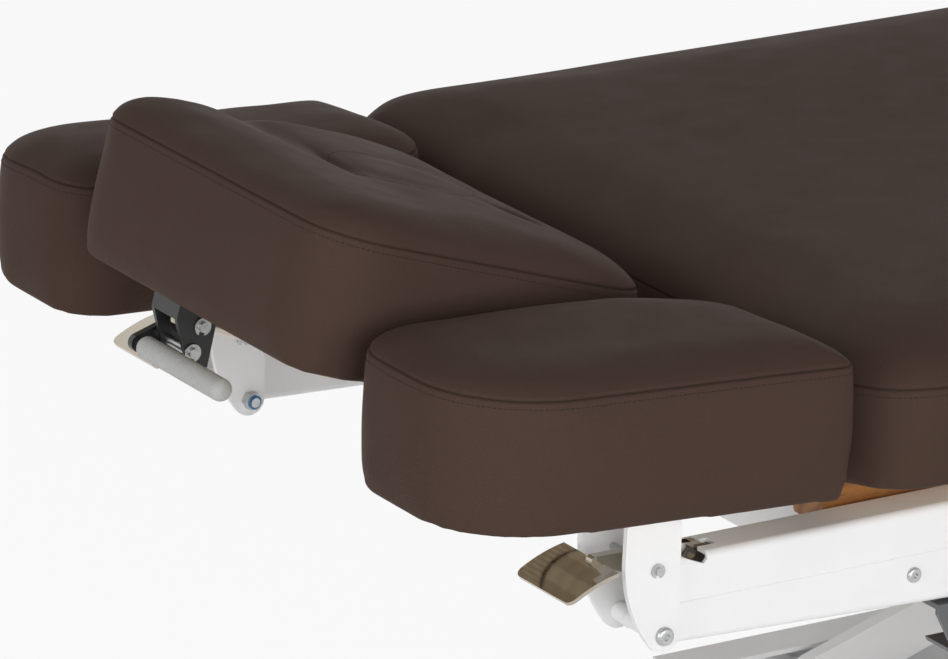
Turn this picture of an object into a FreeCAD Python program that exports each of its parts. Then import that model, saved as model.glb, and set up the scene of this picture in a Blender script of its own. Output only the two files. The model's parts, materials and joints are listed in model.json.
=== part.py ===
import FreeCAD, Part
import math
import os

V = FreeCAD.Vector

# Millimetres and degrees. X runs from head to foot and is zero at the head end of the long
# cushion, Y runs to the left side, Z runs up from the floor.

# Fits and stock
RUN_GAP = 0.05
PART_GAP = 0.4
CUT_PAST = 1.0
STEEL = 5.0
SHEET = 3.0
WALL = 4.0

# Long cushion and its deck
BODY_LENGTH = 1680.0
BODY_HALF_WIDTH = 403.0
BODY_WAIST = 11.0
BODY_CORNER = 72.0
BODY_CROWN = 38.0
BODY_SHOULDER = 82.0
BODY_BOARD = 18.0
DRAW_IN = 8.0
BOARD_INSET = 16.0
LEAST_CORNER = 6.0

# Scissor lift
ARM_SPAN = 1000.0
ARM_REST_DEG = 17.0
ARM_TRAVEL_DEG = 21.0
ARM_HEIGHT = 44.0
ARM_THICK = 14.0
ARM_CLEAR = 16.0
ARM_PAIR_GAP = 16.0
ARM_TUBE_R = 14.0
ARM_TUBE_OFFSET = 120.0
ARM_TUBE_SET_IN = 1.0
AXLE_R = 10.0
AXLE_PAST = 4.0
CAP_RIM = 7.0
CAP_THICK = 5.0
ROLLER_R = 17.5
ROLLER_WIDTH = 20.0
ROLLER_CHAMFER = 1.5
FIXED_PIVOT_X = 390.0

# Side beams, tracks and base rails
BEAM_OVERHANG = 62.0
BEAM_WIDTH = 41.0
BEAM_TOP = 56.0
BEAM_DEPTH = 24.0
BEAM_TIP_DEPTH = 11.0
BEAM_TIP_AHEAD = 6.0
BEAM_TAPER_END = 190.0
BEAM_EDGE_R = 6.0
BEAM_FOOT_MARGIN = 30.0
NOTCH_HEAD = 18.0
NOTCH_FOOT = 41.0
NOTCH_DEPTH = 8.5
NOTCH_RISE = 3.0
SLOT_FOOT = 57.0
SLOT_HALF = 6.5
LUG_R = 13.0
LUG_TIP_R = 8.0
LUG_ROOT_X = 20.0
LUG_ROOT_UP = 8.0
GROOVE_UP = 20.6
GROOVE_WIDTH = 1.4
GROOVE_DEPTH = 0.7
SCREW_X = 78.0
SCREW_UP = 5.0
SCREW_R = 3.0
SCREW_HEAD_R = 6.0
SCREW_HEAD_H = 3.4
SCREW_HEAD_ROUND = 2.2
SCREW_DRIVE_R = 2.0
SCREW_DRIVE_DEPTH = 1.9
SCREW_PAST = 4.0
TRACK_LIP = 0.5
TRACK_HEAD_MARGIN = 289.0
TRACK_FOOT_MARGIN = 70.0
TRACK_SLANT = 18.0
TRACK_SLANT_LIP = 6.0
BASE_HEAD_MARGIN = 119.0
BASE_FOOT_MARGIN = 133.0
CROSS_WIDTH = 40.0
CROSS_HEAD_X = 30.0
CROSS_FOOT_MARGIN = 150.0

# Wooden rails between the crossbars and the deck, heights above the armrest bolt
RAIL_BOTTOM = 40.0
RAIL_WIDTH = 40.0
RAIL_GAP = 2.0
RAIL_HEAD_X = 24.0
RAIL_FOOT_MARGIN = 60.0
RAIL_CHAMFER = 2.0
PAD_BOTTOM = 92.0
BODY_SEAM = 174.0

# Feet and foot bar
FOOT_HEIGHT = 53.0
FOOT_PAD_R = 26.0
FOOT_PAD_H = 12.0
FOOT_PAD_ROUND = 4.0
FOOT_STEM_R = 6.0
FOOT_NUT_R = 11.0
FOOT_NUT_H = 8.0
FOOT_BAR_R = 7.0
FOOT_BAR_HALF = 200.0
FOOT_BAR_REACH = 80.0
FOOT_BAR_PIVOT_AHEAD = 16.0
FOOT_BAR_STUB_R = 5.0
FOOT_BAR_STUB_PAST = 4.0
FOOT_LUG_R = 10.0
FOOT_LUG_ROOT_R = 12.0

# Lift drive
DRIVE_R = 22.0
DRIVE_ROD_R = 11.0
DRIVE_SET = 55.0
DRIVE_TUBE = 560.0
DRIVE_BORE_START = 60.0
DRIVE_ROD_KEPT = 57.0
YOKE_PLAY = 17.0
YOKE_RIM = 9.0
YOKE_HALF_THICK = 12.0
YOKE_HEEL = 6.0
YOKE_NECK = 4.0
MOTOR_R = 30.0
MOTOR_LENGTH = 130.0
MOTOR_SIDE = 78.0
MOTOR_ROUND = 8.0
MOTOR_SET = 10.0
GEAR_HEAD = 34.0
GEAR_FOOT = 26.0
GEAR_NEAR = 34.0
GEAR_FAR = 112.0
GEAR_HALF_HEIGHT = 32.0
GEAR_ROUND = 9.0
STRUT_HALF = 18.0
STRUT_THICK = 6.0
STRUT_DROP = 17.0

# Control box and mains inlet
CONTROL_DEPTH = 62.0
CONTROL_WIDTH = 230.0
CONTROL_HEIGHT = 74.0
CONTROL_ROUND = 8.0
INLET_SIDE = 57.5
INLET_HALF_WIDTH = 14.0
INLET_HALF_HEIGHT = 11.0
INLET_WALL = 3.0
INLET_DEPTH = 8.0
INLET_FLOOR = 4.0
INLET_PROUD = 1.5
PRONG_HALF_WIDTH = 1.0
PRONG_HALF_HEIGHT = 2.0
PRONG_SPREAD = 7.0
PRONG_RISE = 3.0

# Headrest, measured in its own level frame from its hinge
HINGE_X = -30.0
HINGE_UP = 75.0
HEAD_TILT_DEG = 14.0
HEAD_DOWN_DEG = 40.0
HEAD_UP_DEG = 8.0
HEAD_FRONT = -350.0
HEAD_BACK = -50.0
HEAD_HALF = 195.0
HEAD_BOTTOM = 31.0
HEAD_SEAM = 129.0
HEAD_CROWN = 25.0
HEAD_SHOULDER = 44.0
HEAD_ROLL = 2.3
HEAD_WEDGE_DEG = 4.4
HEAD_CORNER = 52.0
HEAD_BACK_CORNER = 46.0
SMALL_BOARD = 12.0
HOLE_U = -178.0
HOLE_A = 58.0
HOLE_B = 56.0
PLUG_GAP = 1.0
PLUG_LEDGE = 9.0
PLUG_FOOT_IN = 4.0
PLUG_FOOT_H = 8.0
PLUG_SET_DOWN = 10.0
PLUG_CROWN = 9.0
PLUG_SHOULDER = 15.0

# Headrest hinge
HINGE_R = 5.0
HINGE_EAR = 114.0
HINGE_ARM = 120.5
HINGE_EYE_R = 12.0
HINGE_EAR_EYE_R = 11.5
HINGE_PIN_PAST = 3.0
LEAF_HALF = 138.0
LEAF_HEAD = -118.0
LEAF_FOOT = -58.0
EAR_TOP = (7.0, 9.0)
EAR_UNDER = (-4.0, -11.0)
STAND_HALF = 140.0
STAND_THICK = 4.0
STAND_ARM_TOP = (9.0, 8.0)
STAND_ARM_UNDER = (-8.0, -8.0)

# Headrest lock and release lever
LOCK_Y0 = 40.0
LOCK_Y1 = 80.0
LOCK_FRONT = -322.0
LOCK_BACK = -287.0
LOCK_SHEET = 4.0
LOCK_FLANGE_BOTTOM = 14.0
LOCK_CHIN = (-301.0, -27.0)
LOCK_HEEL = (-292.0, -27.0)
LOCK_BACK_BOTTOM = -20.0
PIN_R = 4.0
PIN_PAST = 5.0
PIN_CLIP_R = 7.0
UPPER_PIN = (-299.0, 11.0)
LOWER_PIN = (-303.0, -10.0)
GRIP_AT = (-320.0, -18.0)
GRIP_R = 9.0
GRIP_ROUND = 8.0
GRIP_RIM = 3.0
GRIP_Y0 = -46.0
GRIP_Y1 = 80.0
GRIP_END_WALL = 8.0
LEVER_END_Y = 95.0
LEVER_ROD_R = 4.5
LEVER_ARM = 6.0
LEVER_EYE_R = 9.0
LEVER_TIP_R = 7.0
LEVER_SLEEVE_R = 7.0

# Locking gas spring under the headrest
GAS_FOOT = (30.0, -50.0)
GAS_R = 11.0
GAS_ROD_R = 5.0
GAS_TUBE = 196.0
GAS_TUBE_START = 22.0
GAS_NECK_R = 6.0
GAS_ROUND = 3.0
GAS_BORE_START = 60.0
GAS_ROD_START = 150.0
GAS_EYE_R = 13.0
GAS_FOOT_EYE_R = 9.0
GAS_EYE_PLAY = 4.0
GAS_EYE_T = 14.0
GAS_LUG = 4.0
GAS_LUG_ROOT_R = 14.0
GAS_LUG_ROOT_DROP = 4.0
GAS_PIN_PAST = 6.0

# Armrests, heights above the pivot bolt
BOLT_X = -145.0
BOLT_R = 4.0
BOLT_HEAD_R = 7.2
BOLT_HEAD_H = 4.4
BOLT_HEAD_ROUND = 3.0
BOLT_KEY_R = 2.9
BOLT_KEY_DEPTH = 2.2
BOLT_TAIL = 10.0
NUT_R = 7.5
NUT_H = 8.0
SPACER_R = 7.5
ARMREST_TILT_DEG = 3.5
ARMREST_DROP_DEG = 60.0
ARMREST_HEAD_X = -350.0
ARMREST_SET_IN = 3.0
SECTION_GAP = 5.0
SIDE_GAP = 11.0
ARMREST_BOTTOM = 103.0
ARMREST_SEAM = 208.0
ARMREST_CROWN = 18.0
ARMREST_SHOULDER = 48.0
ARMREST_HEAD_IN_CORNER = 48.0
ARMREST_FOOT_CORNER = 52.0
ARMREST_FOOT_OUT_CORNER = 10.0
ARMREST_HEAD_OUT_CORNER = 90.0

# Armrest bracket, latch and ratchet
SPACER_LENGTH = 15.0
PLATE_FRONT = 37.0
PLATE_BACK = 9.0
PLATE_BOTTOM_R = 13.5
PLATE_WAIST_UP = 58.0
PLATE_BELLY = (-30.0, 24.0)
PLATE_OUT_GAP = 1.5
SADDLE_HEAD = 52.0
SADDLE_FOOT = 40.0
LATCH_UP = 51.5
LATCH_AHEAD = 9.0
LATCH_R = 3.0
LATCH_PAST = 4.0
CLIP_R = 5.6
CLIP_T = 1.2
CLIP_SET = 0.8
CLIP_MOUTH = 0.36
RATCHET_R = 40.0
RATCHET_T = 6.0
RATCHET_HUB_R = 7.5
RATCHET_TAIL = 60.0
RATCHET_TAIL_TOP = 14.0
RATCHET_TAIL_BOTTOM = 5.0
RATCHET_SEAT_X = 34.0
RATCHET_SEAT_UP = 6.0
RATCHET_SEAT_T = 8.0
RATCHET_FACE_DEG = 26.0
RATCHET_END_DEG = 106.0
TOOTH_STEP_DEG = 10.0
TOOTH_COUNT = 7
TOOTH_R = 3.0
NOSE_DEG = 40.0
NOSE_R = 3.0
NOSE_ROOT_R = 5.5
NOSE_ROOT = (37.5, 48.5)
TAIL_HUB = (33.0, 53.0)
TAIL_HUB_R = 8.8
TAIL_BORE_R = 5.0
TAIL_FORK = ((30.0, 61.2), (37.5, 62.3), (45.9, 59.1), (49.7, 55.6), (45.2, 52.2), (48.6, 47.5),
             (47.0, 43.6), (38.0, 43.0), (31.0, 47.0))
PADDLE_LENGTH = 46.0
PADDLE_WIDTH = 78.0
PADDLE_INWARD = 6.0
PADDLE_ARM = 8.0
PADDLE_EYE_R = 10.0
PADDLE_TIP_R = 4.0
PADDLE_BACK_DEG = 14.0
PADDLE_FRONT_DEG = 36.0
PADDLE_CORNER = 7.0
PADDLE_BACK_X = 39.0
PADDLE_BACK_Z = 56.0
PADDLE_TUCK = 2.0

# Places worked out from the sizes above
COS_REST = math.cos(math.radians(ARM_REST_DEG))
SIN_REST = math.sin(math.radians(ARM_REST_DEG))
ARM_RUN = ARM_SPAN * COS_REST
ARM_RISE = ARM_SPAN * SIN_REST
DRIVE_STROKE = ARM_RUN - ARM_SPAN * math.cos(math.radians(ARM_REST_DEG + ARM_TRAVEL_DEG))
TRACK_HALF = ROLLER_R + TRACK_LIP + WALL
TRACK_INNER_HALF = TRACK_HALF - WALL
PIVOT_BASE_Z = FOOT_HEIGHT + TRACK_HALF
PIVOT_TOP_Z = PIVOT_BASE_Z + ARM_RISE
BOLT_Z = PIVOT_TOP_Z + TRACK_HALF + BEAM_DEPTH
FAR_PIVOT_X = FIXED_PIVOT_X + ARM_RUN
LOW_PIVOT = (FIXED_PIVOT_X, PIVOT_BASE_Z)
HIGH_PIVOT = (FAR_PIVOT_X, PIVOT_TOP_Z)
FAR_PIVOT = (FAR_PIVOT_X, PIVOT_BASE_Z)
NEAR_PIVOT = (FIXED_PIVOT_X, PIVOT_TOP_Z)
CROSSING = (FIXED_PIVOT_X + 0.5 * ARM_RUN, PIVOT_BASE_Z + 0.5 * ARM_RISE)
BEAM_OUT = BODY_HALF_WIDTH - BEAM_OVERHANG
BEAM_IN = BEAM_OUT - BEAM_WIDTH
BEAM_MIDDLE = 0.5 * (BEAM_IN + BEAM_OUT)
BEAM_TIP_X = BOLT_X + BEAM_TIP_AHEAD
ARM_OUT_Y = BEAM_IN - ARM_CLEAR
ARM_IN_Y = ARM_OUT_Y - ARM_THICK - ARM_PAIR_GAP
ROLLER_Y = 0.5 * (BEAM_IN + BEAM_OUT - WALL)
AXLE_END = ROLLER_Y + 0.5 * ROLLER_WIDTH + AXLE_PAST
BASE_X0 = FIXED_PIVOT_X - BASE_HEAD_MARGIN
BASE_X1 = FAR_PIVOT_X + BASE_FOOT_MARGIN
DRIVE_X = FIXED_PIVOT_X + DRIVE_SET
FOOT_BAR_PIVOT_X = BASE_X0 - FOOT_BAR_PIVOT_AHEAD
HINGE_Z = BOLT_Z + HINGE_UP
ARMREST_IN = HEAD_HALF + SIDE_GAP
ARMREST_OUT = BODY_HALF_WIDTH - ARMREST_SET_IN
ARMREST_LEAN = ARMREST_SEAM * math.sin(math.radians(ARMREST_TILT_DEG))
ARMREST_REACH = (-SECTION_GAP - BOLT_X - ARMREST_LEAN) / math.cos(math.radians(ARMREST_TILT_DEG))
ARMREST_FOOT_X = BOLT_X + ARMREST_REACH
PLATE_IN = BEAM_IN - SPACER_LENGTH - PART_GAP - STEEL
PLATE_OUT = BEAM_OUT + PLATE_OUT_GAP
LATCH = (BOLT_X - LATCH_AHEAD, BOLT_Z + LATCH_UP)


def box(x0, x1, y0, y1, z0, z1):
    return Part.makeBox(x1 - x0, y1 - y0, z1 - z0, V(x0, y0, z0))


def rod_x(y, z, radius, x0, x1):
    return Part.makeCylinder(radius, x1 - x0, V(x0, y, z), V(1, 0, 0))


def rod_y(x, z, radius, y0, y1):
    return Part.makeCylinder(radius, y1 - y0, V(x, y0, z), V(0, 1, 0))


def rod_z(x, y, radius, z0, z1):
    return Part.makeCylinder(radius, z1 - z0, V(x, y, z0), V(0, 0, 1))


def through_y(x, z, radius):
    """Cutter for a bore across the whole width of the table."""
    return rod_y(x, z, radius, -BODY_HALF_WIDTH, BODY_HALF_WIDTH)


def plate_xz(points, y0, y1):
    """Plate with a polygon outline in the XZ plane."""
    corners = [V(x, y0, z) for x, z in points]
    face = Part.Face(Part.makePolygon(corners + corners[:1]))
    return face.extrude(V(0, y1 - y0, 0))


def strap(p, q, rp, rq, y0, y1):
    """Flat link with rounded ends of two radii and tangent sides."""
    dx = q[0] - p[0]
    dz = q[1] - p[1]
    base = math.atan2(dz, dx)
    lean = math.acos((rp - rq) / math.hypot(dx, dz))
    points = []
    for centre, radius, side in ((p, rp, 1), (q, rq, 1), (q, rq, -1), (p, rp, -1)):
        angle = base + side * lean
        points.append((centre[0] + radius * math.cos(angle), centre[1] + radius * math.sin(angle)))
    link = plate_xz(points, y0, y1)
    link = link.fuse([rod_y(p[0], p[1], rp, y0, y1), rod_y(q[0], q[1], rq, y0, y1)])
    return link.removeSplitter()


def hexagon_y(x, z, radius, y0, y1):
    """Hexagonal bar along Y, with a corner to corner radius."""
    turns = [k * math.pi / 3 for k in range(6)]
    return plate_xz([(x + radius * math.cos(t), z + radius * math.sin(t)) for t in turns], y0, y1)


def mirrored(shape):
    return shape.mirror(V(0, 0, 0), V(0, 1, 0))


def both_sides(name, left):
    return {name + "_left": left, name + "_right": mirrored(left)}


def turned(shape, x, z, degrees):
    copy = shape.copy()
    copy.rotate(V(x, 0, z), V(0, 1, 0), degrees)
    return copy


def closed_edges(shape, y_above):
    """Round edges that lie beyond a distance along Y."""
    return [e for e in shape.Edges if e.Closed and e.BoundBox.YMin > y_above]


def rounded_wire(x0, x1, y0, y1, radii, z, waist=0.0):
    """Closed outline with four corner radii; the long sides may draw in at the waist."""
    r = [max(radius, LEAST_CORNER) for radius in radii]
    half = math.sqrt(0.5)
    middle = 0.5 * (x0 + x1)

    def side(a, b, waist_y):
        if waist:
            return Part.Arc(a, V(middle, waist_y, z), b).toShape()
        return Part.makeLine(a, b)

    def corner(cx, cy, radius, sx, sy, from_x):
        on_x = V(cx + sx * radius, cy, z)
        on_y = V(cx, cy + sy * radius, z)
        mid = V(cx + sx * radius * half, cy + sy * radius * half, z)
        ends = (on_x, mid, on_y) if from_x else (on_y, mid, on_x)
        return Part.Arc(*ends).toShape()

    edges = [
        side(V(x0 + r[0], y0, z), V(x1 - r[1], y0, z), y0 + waist),
        corner(x1 - r[1], y0 + r[1], r[1], 1, -1, False),
        Part.makeLine(V(x1, y0 + r[1], z), V(x1, y1 - r[2], z)),
        corner(x1 - r[2], y1 - r[2], r[2], 1, 1, True),
        side(V(x1 - r[2], y1, z), V(x0 + r[3], y1, z), y1 - waist),
        corner(x0 + r[3], y1 - r[3], r[3], -1, 1, False),
        Part.makeLine(V(x0, y1 - r[3], z), V(x0, y0 + r[0], z)),
        corner(x0 + r[0], y0 + r[0], r[0], -1, -1, True),
    ]
    return Part.Wire(edges)


def body_outline(z, inset):
    half = BODY_HALF_WIDTH - inset
    radii = [BODY_CORNER - inset] * 4
    return rounded_wire(inset, BODY_LENGTH - inset, -half, half, radii, z, BODY_WAIST)


def armrest_outline(z, inset):
    corners = (ARMREST_HEAD_IN_CORNER, ARMREST_FOOT_CORNER,
               ARMREST_FOOT_OUT_CORNER, ARMREST_HEAD_OUT_CORNER)
    radii = [corner - inset for corner in corners]
    return rounded_wire(ARMREST_HEAD_X + inset, ARMREST_FOOT_X - inset,
                        ARMREST_IN + inset, ARMREST_OUT - inset, radii, z)


def head_outline(z, inset):
    """Headrest outline: above the seam the back rolls off further, and the pad thins to the back."""
    height = z - HINGE_Z
    above_seam = height > HEAD_SEAM
    back = HINGE_X + HEAD_BACK - inset * (HEAD_ROLL if above_seam else 1.0)
    back_corner = HEAD_BACK_CORNER + (inset if above_seam else -inset)
    radii = [HEAD_CORNER - inset, back_corner, back_corner, HEAD_CORNER - inset]
    half = HEAD_HALF - inset
    wire = rounded_wire(HINGE_X + HEAD_FRONT + inset, back, -half, half, radii, z)
    share = min(1.0, (height - HEAD_BOTTOM) / (HEAD_SEAM - HEAD_BOTTOM))
    wire.rotate(V(HINGE_X + 0.5 * (HEAD_FRONT + HEAD_BACK), 0, z), V(0, 1, 0), share * HEAD_WEDGE_DEG)
    return wire


def plug_outline(z, inset, lean_deg=0.0):
    """Outline of the face opening; the top of the plug leans with the pad."""
    centre = V(HINGE_X + HOLE_U, 0, z)
    wire = Part.Wire([Part.Ellipse(centre, HOLE_A - inset, HOLE_B - inset).toShape()])
    wire.rotate(centre, V(0, 1, 0), lean_deg)
    return wire


def cushion(outline, bottom, seam, crown, shoulder):
    """Upholstered pad: sides drawn in at the bottom, bowed out to a seam, crowned top above it."""
    height = seam - bottom
    levels = [
        (bottom, DRAW_IN),
        (bottom + 0.12 * height, 0.3 * DRAW_IN),
        (bottom + 0.5 * height, 0.0),
        (seam, 0.0),
        (seam + 0.32 * crown, 0.05 * shoulder),
        (seam + 0.62 * crown, 0.21 * shoulder),
        (seam + 0.86 * crown, 0.5 * shoulder),
        (seam + crown, shoulder),
    ]
    return Part.makeLoft([outline(z, inset) for z, inset in levels], True, True)


def board(outline, bottom, thick):
    return Part.Face(outline(bottom, BOARD_INSET)).extrude(V(0, 0, thick))


def channel(x0, x1, centre_z):
    """Left track rail, open to the middle, with a bore for the fixed axle."""
    z0 = centre_z - TRACK_HALF
    z1 = centre_z + TRACK_HALF
    rail = box(x0, x1, BEAM_IN, BEAM_OUT, z0, z1)
    rail = rail.cut(box(x0 - CUT_PAST, x1 + CUT_PAST, BEAM_IN - CUT_PAST, BEAM_OUT - WALL,
                        z0 + WALL, z1 - WALL))
    return rail.cut(through_y(FIXED_PIVOT_X, centre_z, AXLE_R + RUN_GAP))


def square_tube(x0, half_length, z0, z1, wall):
    """Crossbar along Y, open at both ends."""
    x1 = x0 + CROSS_WIDTH
    tube = box(x0, x1, -half_length, half_length, z0, z1)
    reach = half_length + CUT_PAST
    return tube.cut(box(x0 + wall, x1 - wall, -reach, reach, z0 + wall, z1 - wall))


def upper_tracks():
    x0 = FIXED_PIVOT_X - TRACK_HEAD_MARGIN
    rail = channel(x0, FAR_PIVOT_X + TRACK_FOOT_MARGIN, PIVOT_TOP_Z)
    below = PIVOT_TOP_Z - TRACK_HALF - CUT_PAST
    slant = [(x0 - CUT_PAST, below), (x0 + TRACK_SLANT, below),
             (x0 - CUT_PAST, PIVOT_TOP_Z + TRACK_HALF - TRACK_SLANT_LIP)]
    return both_sides("track", rail.cut(plate_xz(slant, BEAM_IN - CUT_PAST, BEAM_OUT + CUT_PAST)))


def base_frame():
    parts = both_sides("base_rail", channel(BASE_X0, BASE_X1, PIVOT_BASE_Z))
    z0 = PIVOT_BASE_Z - TRACK_INNER_HALF
    z1 = PIVOT_BASE_Z + TRACK_INNER_HALF
    for name, x0 in (("base_cross_head", BASE_X0), ("base_cross_foot", BASE_X1 - CROSS_WIDTH)):
        parts[name] = square_tube(x0, BEAM_OUT - WALL, z0, z1, WALL)
    lug_y = FOOT_BAR_HALF - FOOT_BAR_R - PART_GAP
    lug = strap((FOOT_BAR_PIVOT_X, PIVOT_BASE_Z), (BASE_X0, PIVOT_BASE_Z), FOOT_LUG_R, FOOT_LUG_ROOT_R,
                lug_y - STEEL, lug_y)
    lug = lug.cut(box(BASE_X0, BASE_X0 + CROSS_WIDTH, 0, FOOT_BAR_HALF, 0, PIVOT_TOP_Z))
    lug = lug.cut(through_y(FOOT_BAR_PIVOT_X, PIVOT_BASE_Z, FOOT_BAR_STUB_R + RUN_GAP))
    parts["base_cross_head"] = parts["base_cross_head"].fuse([lug, mirrored(lug)]).removeSplitter()
    return parts


def foot_bar():
    """Bent round bar hinged on two lugs at the head end of the base."""
    bar_x = FOOT_BAR_PIVOT_X - FOOT_BAR_REACH
    stub_y = FOOT_BAR_HALF - FOOT_BAR_R - PART_GAP - STEEL - FOOT_BAR_STUB_PAST
    half = rod_y(bar_x, PIVOT_BASE_Z, FOOT_BAR_R, 0, FOOT_BAR_HALF)
    half = half.fuse([
        rod_x(FOOT_BAR_HALF, PIVOT_BASE_Z, FOOT_BAR_R, bar_x, FOOT_BAR_PIVOT_X),
        Part.makeSphere(FOOT_BAR_R, V(bar_x, FOOT_BAR_HALF, PIVOT_BASE_Z)),
        Part.makeSphere(FOOT_BAR_R, V(FOOT_BAR_PIVOT_X, FOOT_BAR_HALF, PIVOT_BASE_Z)),
        rod_y(FOOT_BAR_PIVOT_X, PIVOT_BASE_Z, FOOT_BAR_STUB_R, stub_y, FOOT_BAR_HALF),
    ])
    return {"foot_bar": half.fuse(mirrored(half)).removeSplitter()}


def levelling_feet():
    pad = rod_z(0, 0, FOOT_PAD_R, 0, FOOT_PAD_H)
    pad = pad.makeFillet(FOOT_PAD_ROUND, [e for e in pad.Edges if e.Closed and e.BoundBox.ZMin > 0])
    turns = [k * math.pi / 3 for k in range(7)]
    nut_z = FOOT_HEIGHT - FOOT_NUT_H
    corners = [V(FOOT_NUT_R * math.cos(t), FOOT_NUT_R * math.sin(t), nut_z) for t in turns]
    nut = Part.Face(Part.makePolygon(corners)).extrude(V(0, 0, FOOT_NUT_H))
    foot = pad.fuse([rod_z(0, 0, FOOT_STEM_R, FOOT_PAD_H - FOOT_PAD_ROUND, FOOT_HEIGHT), nut])
    parts = {}
    for end, x in (("head", BASE_X0 + 0.5 * CROSS_WIDTH), ("foot", BASE_X1 - 0.5 * CROSS_WIDTH)):
        parts.update(both_sides("foot_" + end, foot.translated(V(x, BEAM_MIDDLE, 0))))
    return parts


def scissor_arms():
    """Outer pair on the fixed base axle, inner pair on the fixed top axle, crossing on one long pin."""
    end_r = 0.5 * ARM_HEIGHT
    tube_x = ARM_TUBE_OFFSET * COS_REST
    tube_z = ARM_TUBE_OFFSET * SIN_REST

    outer = strap(LOW_PIVOT, HIGH_PIVOT, end_r, end_r, ARM_OUT_Y - ARM_THICK, ARM_OUT_Y)
    outer = outer.cut(through_y(CROSSING[0], CROSSING[1], AXLE_R + RUN_GAP))
    outer = outer.fuse(rod_y(HIGH_PIVOT[0], HIGH_PIVOT[1], AXLE_R, ARM_OUT_Y, AXLE_END))
    tie = ARM_OUT_Y - ARM_TUBE_SET_IN
    outer = outer.fuse([
        mirrored(outer),
        rod_y(HIGH_PIVOT[0] - tube_x, HIGH_PIVOT[1] - tube_z, ARM_TUBE_R, -tie, tie),
        rod_y(LOW_PIVOT[0], LOW_PIVOT[1], AXLE_R, -BEAM_OUT, BEAM_OUT),
    ])

    inner = strap(NEAR_PIVOT, FAR_PIVOT, end_r, end_r, ARM_IN_Y - ARM_THICK, ARM_IN_Y)
    cap_y = ARM_OUT_Y + PART_GAP
    cap = rod_y(CROSSING[0], CROSSING[1], AXLE_R + CAP_RIM, cap_y, cap_y + CAP_THICK)
    tie = ARM_IN_Y - ARM_TUBE_SET_IN
    inner = inner.fuse([
        mirrored(inner),
        rod_y(NEAR_PIVOT[0] + tube_x, NEAR_PIVOT[1] - tube_z, ARM_TUBE_R, -tie, tie),
        rod_y(NEAR_PIVOT[0], NEAR_PIVOT[1], AXLE_R, -BEAM_OUT, BEAM_OUT),
        rod_y(FAR_PIVOT[0], FAR_PIVOT[1], AXLE_R, -AXLE_END, AXLE_END),
        rod_y(CROSSING[0], CROSSING[1], AXLE_R, -cap_y, cap_y),
        cap,
        mirrored(cap),
    ])
    return {"outer_scissor": outer.removeSplitter(), "inner_scissor": inner.removeSplitter()}


def rollers():
    parts = {}
    y0 = ROLLER_Y - 0.5 * ROLLER_WIDTH
    for label, (x, z) in (("upper", HIGH_PIVOT), ("lower", FAR_PIVOT)):
        wheel = rod_y(x, z, ROLLER_R, y0, y0 + ROLLER_WIDTH)
        wheel = wheel.makeChamfer(ROLLER_CHAMFER, [e for e in wheel.Edges if e.Closed])
        wheel = wheel.cut(through_y(x, z, AXLE_R + RUN_GAP))
        parts.update(both_sides("roller_" + label, wheel))
    return parts


def lift_drive():
    """Spindle drive along the base, with its motor beside it and a slotted yoke on the far axle."""
    z = PIVOT_BASE_Z
    tube_end = DRIVE_X + DRIVE_TUBE
    tube = rod_x(0, z, DRIVE_R, DRIVE_X, tube_end)
    tube = tube.cut(rod_x(0, z, DRIVE_ROD_R + RUN_GAP, DRIVE_X + DRIVE_BORE_START, tube_end + CUT_PAST))
    motor_x = DRIVE_X + MOTOR_SET
    motor = rod_x(MOTOR_SIDE, z, MOTOR_R, motor_x, motor_x + MOTOR_LENGTH)
    far_rim = [e for e in motor.Edges if e.Closed and e.BoundBox.XMin > motor_x]
    motor = motor.makeFillet(MOTOR_ROUND, far_rim)
    gear = box(DRIVE_X - GEAR_HEAD, DRIVE_X + GEAR_FOOT, -GEAR_NEAR, GEAR_FAR, z - GEAR_HALF_HEIGHT,
               z + GEAR_HALF_HEIGHT)
    gear = gear.makeFillet(GEAR_ROUND, [e for e in gear.Edges if e.BoundBox.XLength > GEAR_HEAD])
    strut_x = BASE_X0 + CROSS_WIDTH
    strut = box(strut_x, DRIVE_X - 0.5 * GEAR_HEAD, -STRUT_HALF, STRUT_HALF, z - STRUT_DROP,
                z - STRUT_DROP + STRUT_THICK)
    web = box(strut_x, strut_x + STRUT_THICK, -STRUT_HALF, STRUT_HALF, z - STRUT_DROP, z + STRUT_DROP)

    slot_end = (FAR_PIVOT_X + YOKE_PLAY, z)
    slot_r = AXLE_R + PART_GAP
    yoke_r = AXLE_R + YOKE_RIM
    yoke = strap((FAR_PIVOT_X - YOKE_HEEL, z), slot_end, yoke_r, yoke_r, -YOKE_HALF_THICK, YOKE_HALF_THICK)
    rod = rod_x(0, z, DRIVE_ROD_R, tube_end - DRIVE_ROD_KEPT, FAR_PIVOT_X - slot_r - YOKE_NECK)
    reach = YOKE_HALF_THICK + CUT_PAST
    slot = strap((FAR_PIVOT_X - CUT_PAST, z), slot_end, slot_r, slot_r, -reach, reach)
    return {
        "drive_body": tube.fuse([gear, motor, strut, web]).removeSplitter(),
        "drive_rod": rod.fuse(yoke).cut(slot).removeSplitter(),
    }


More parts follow.
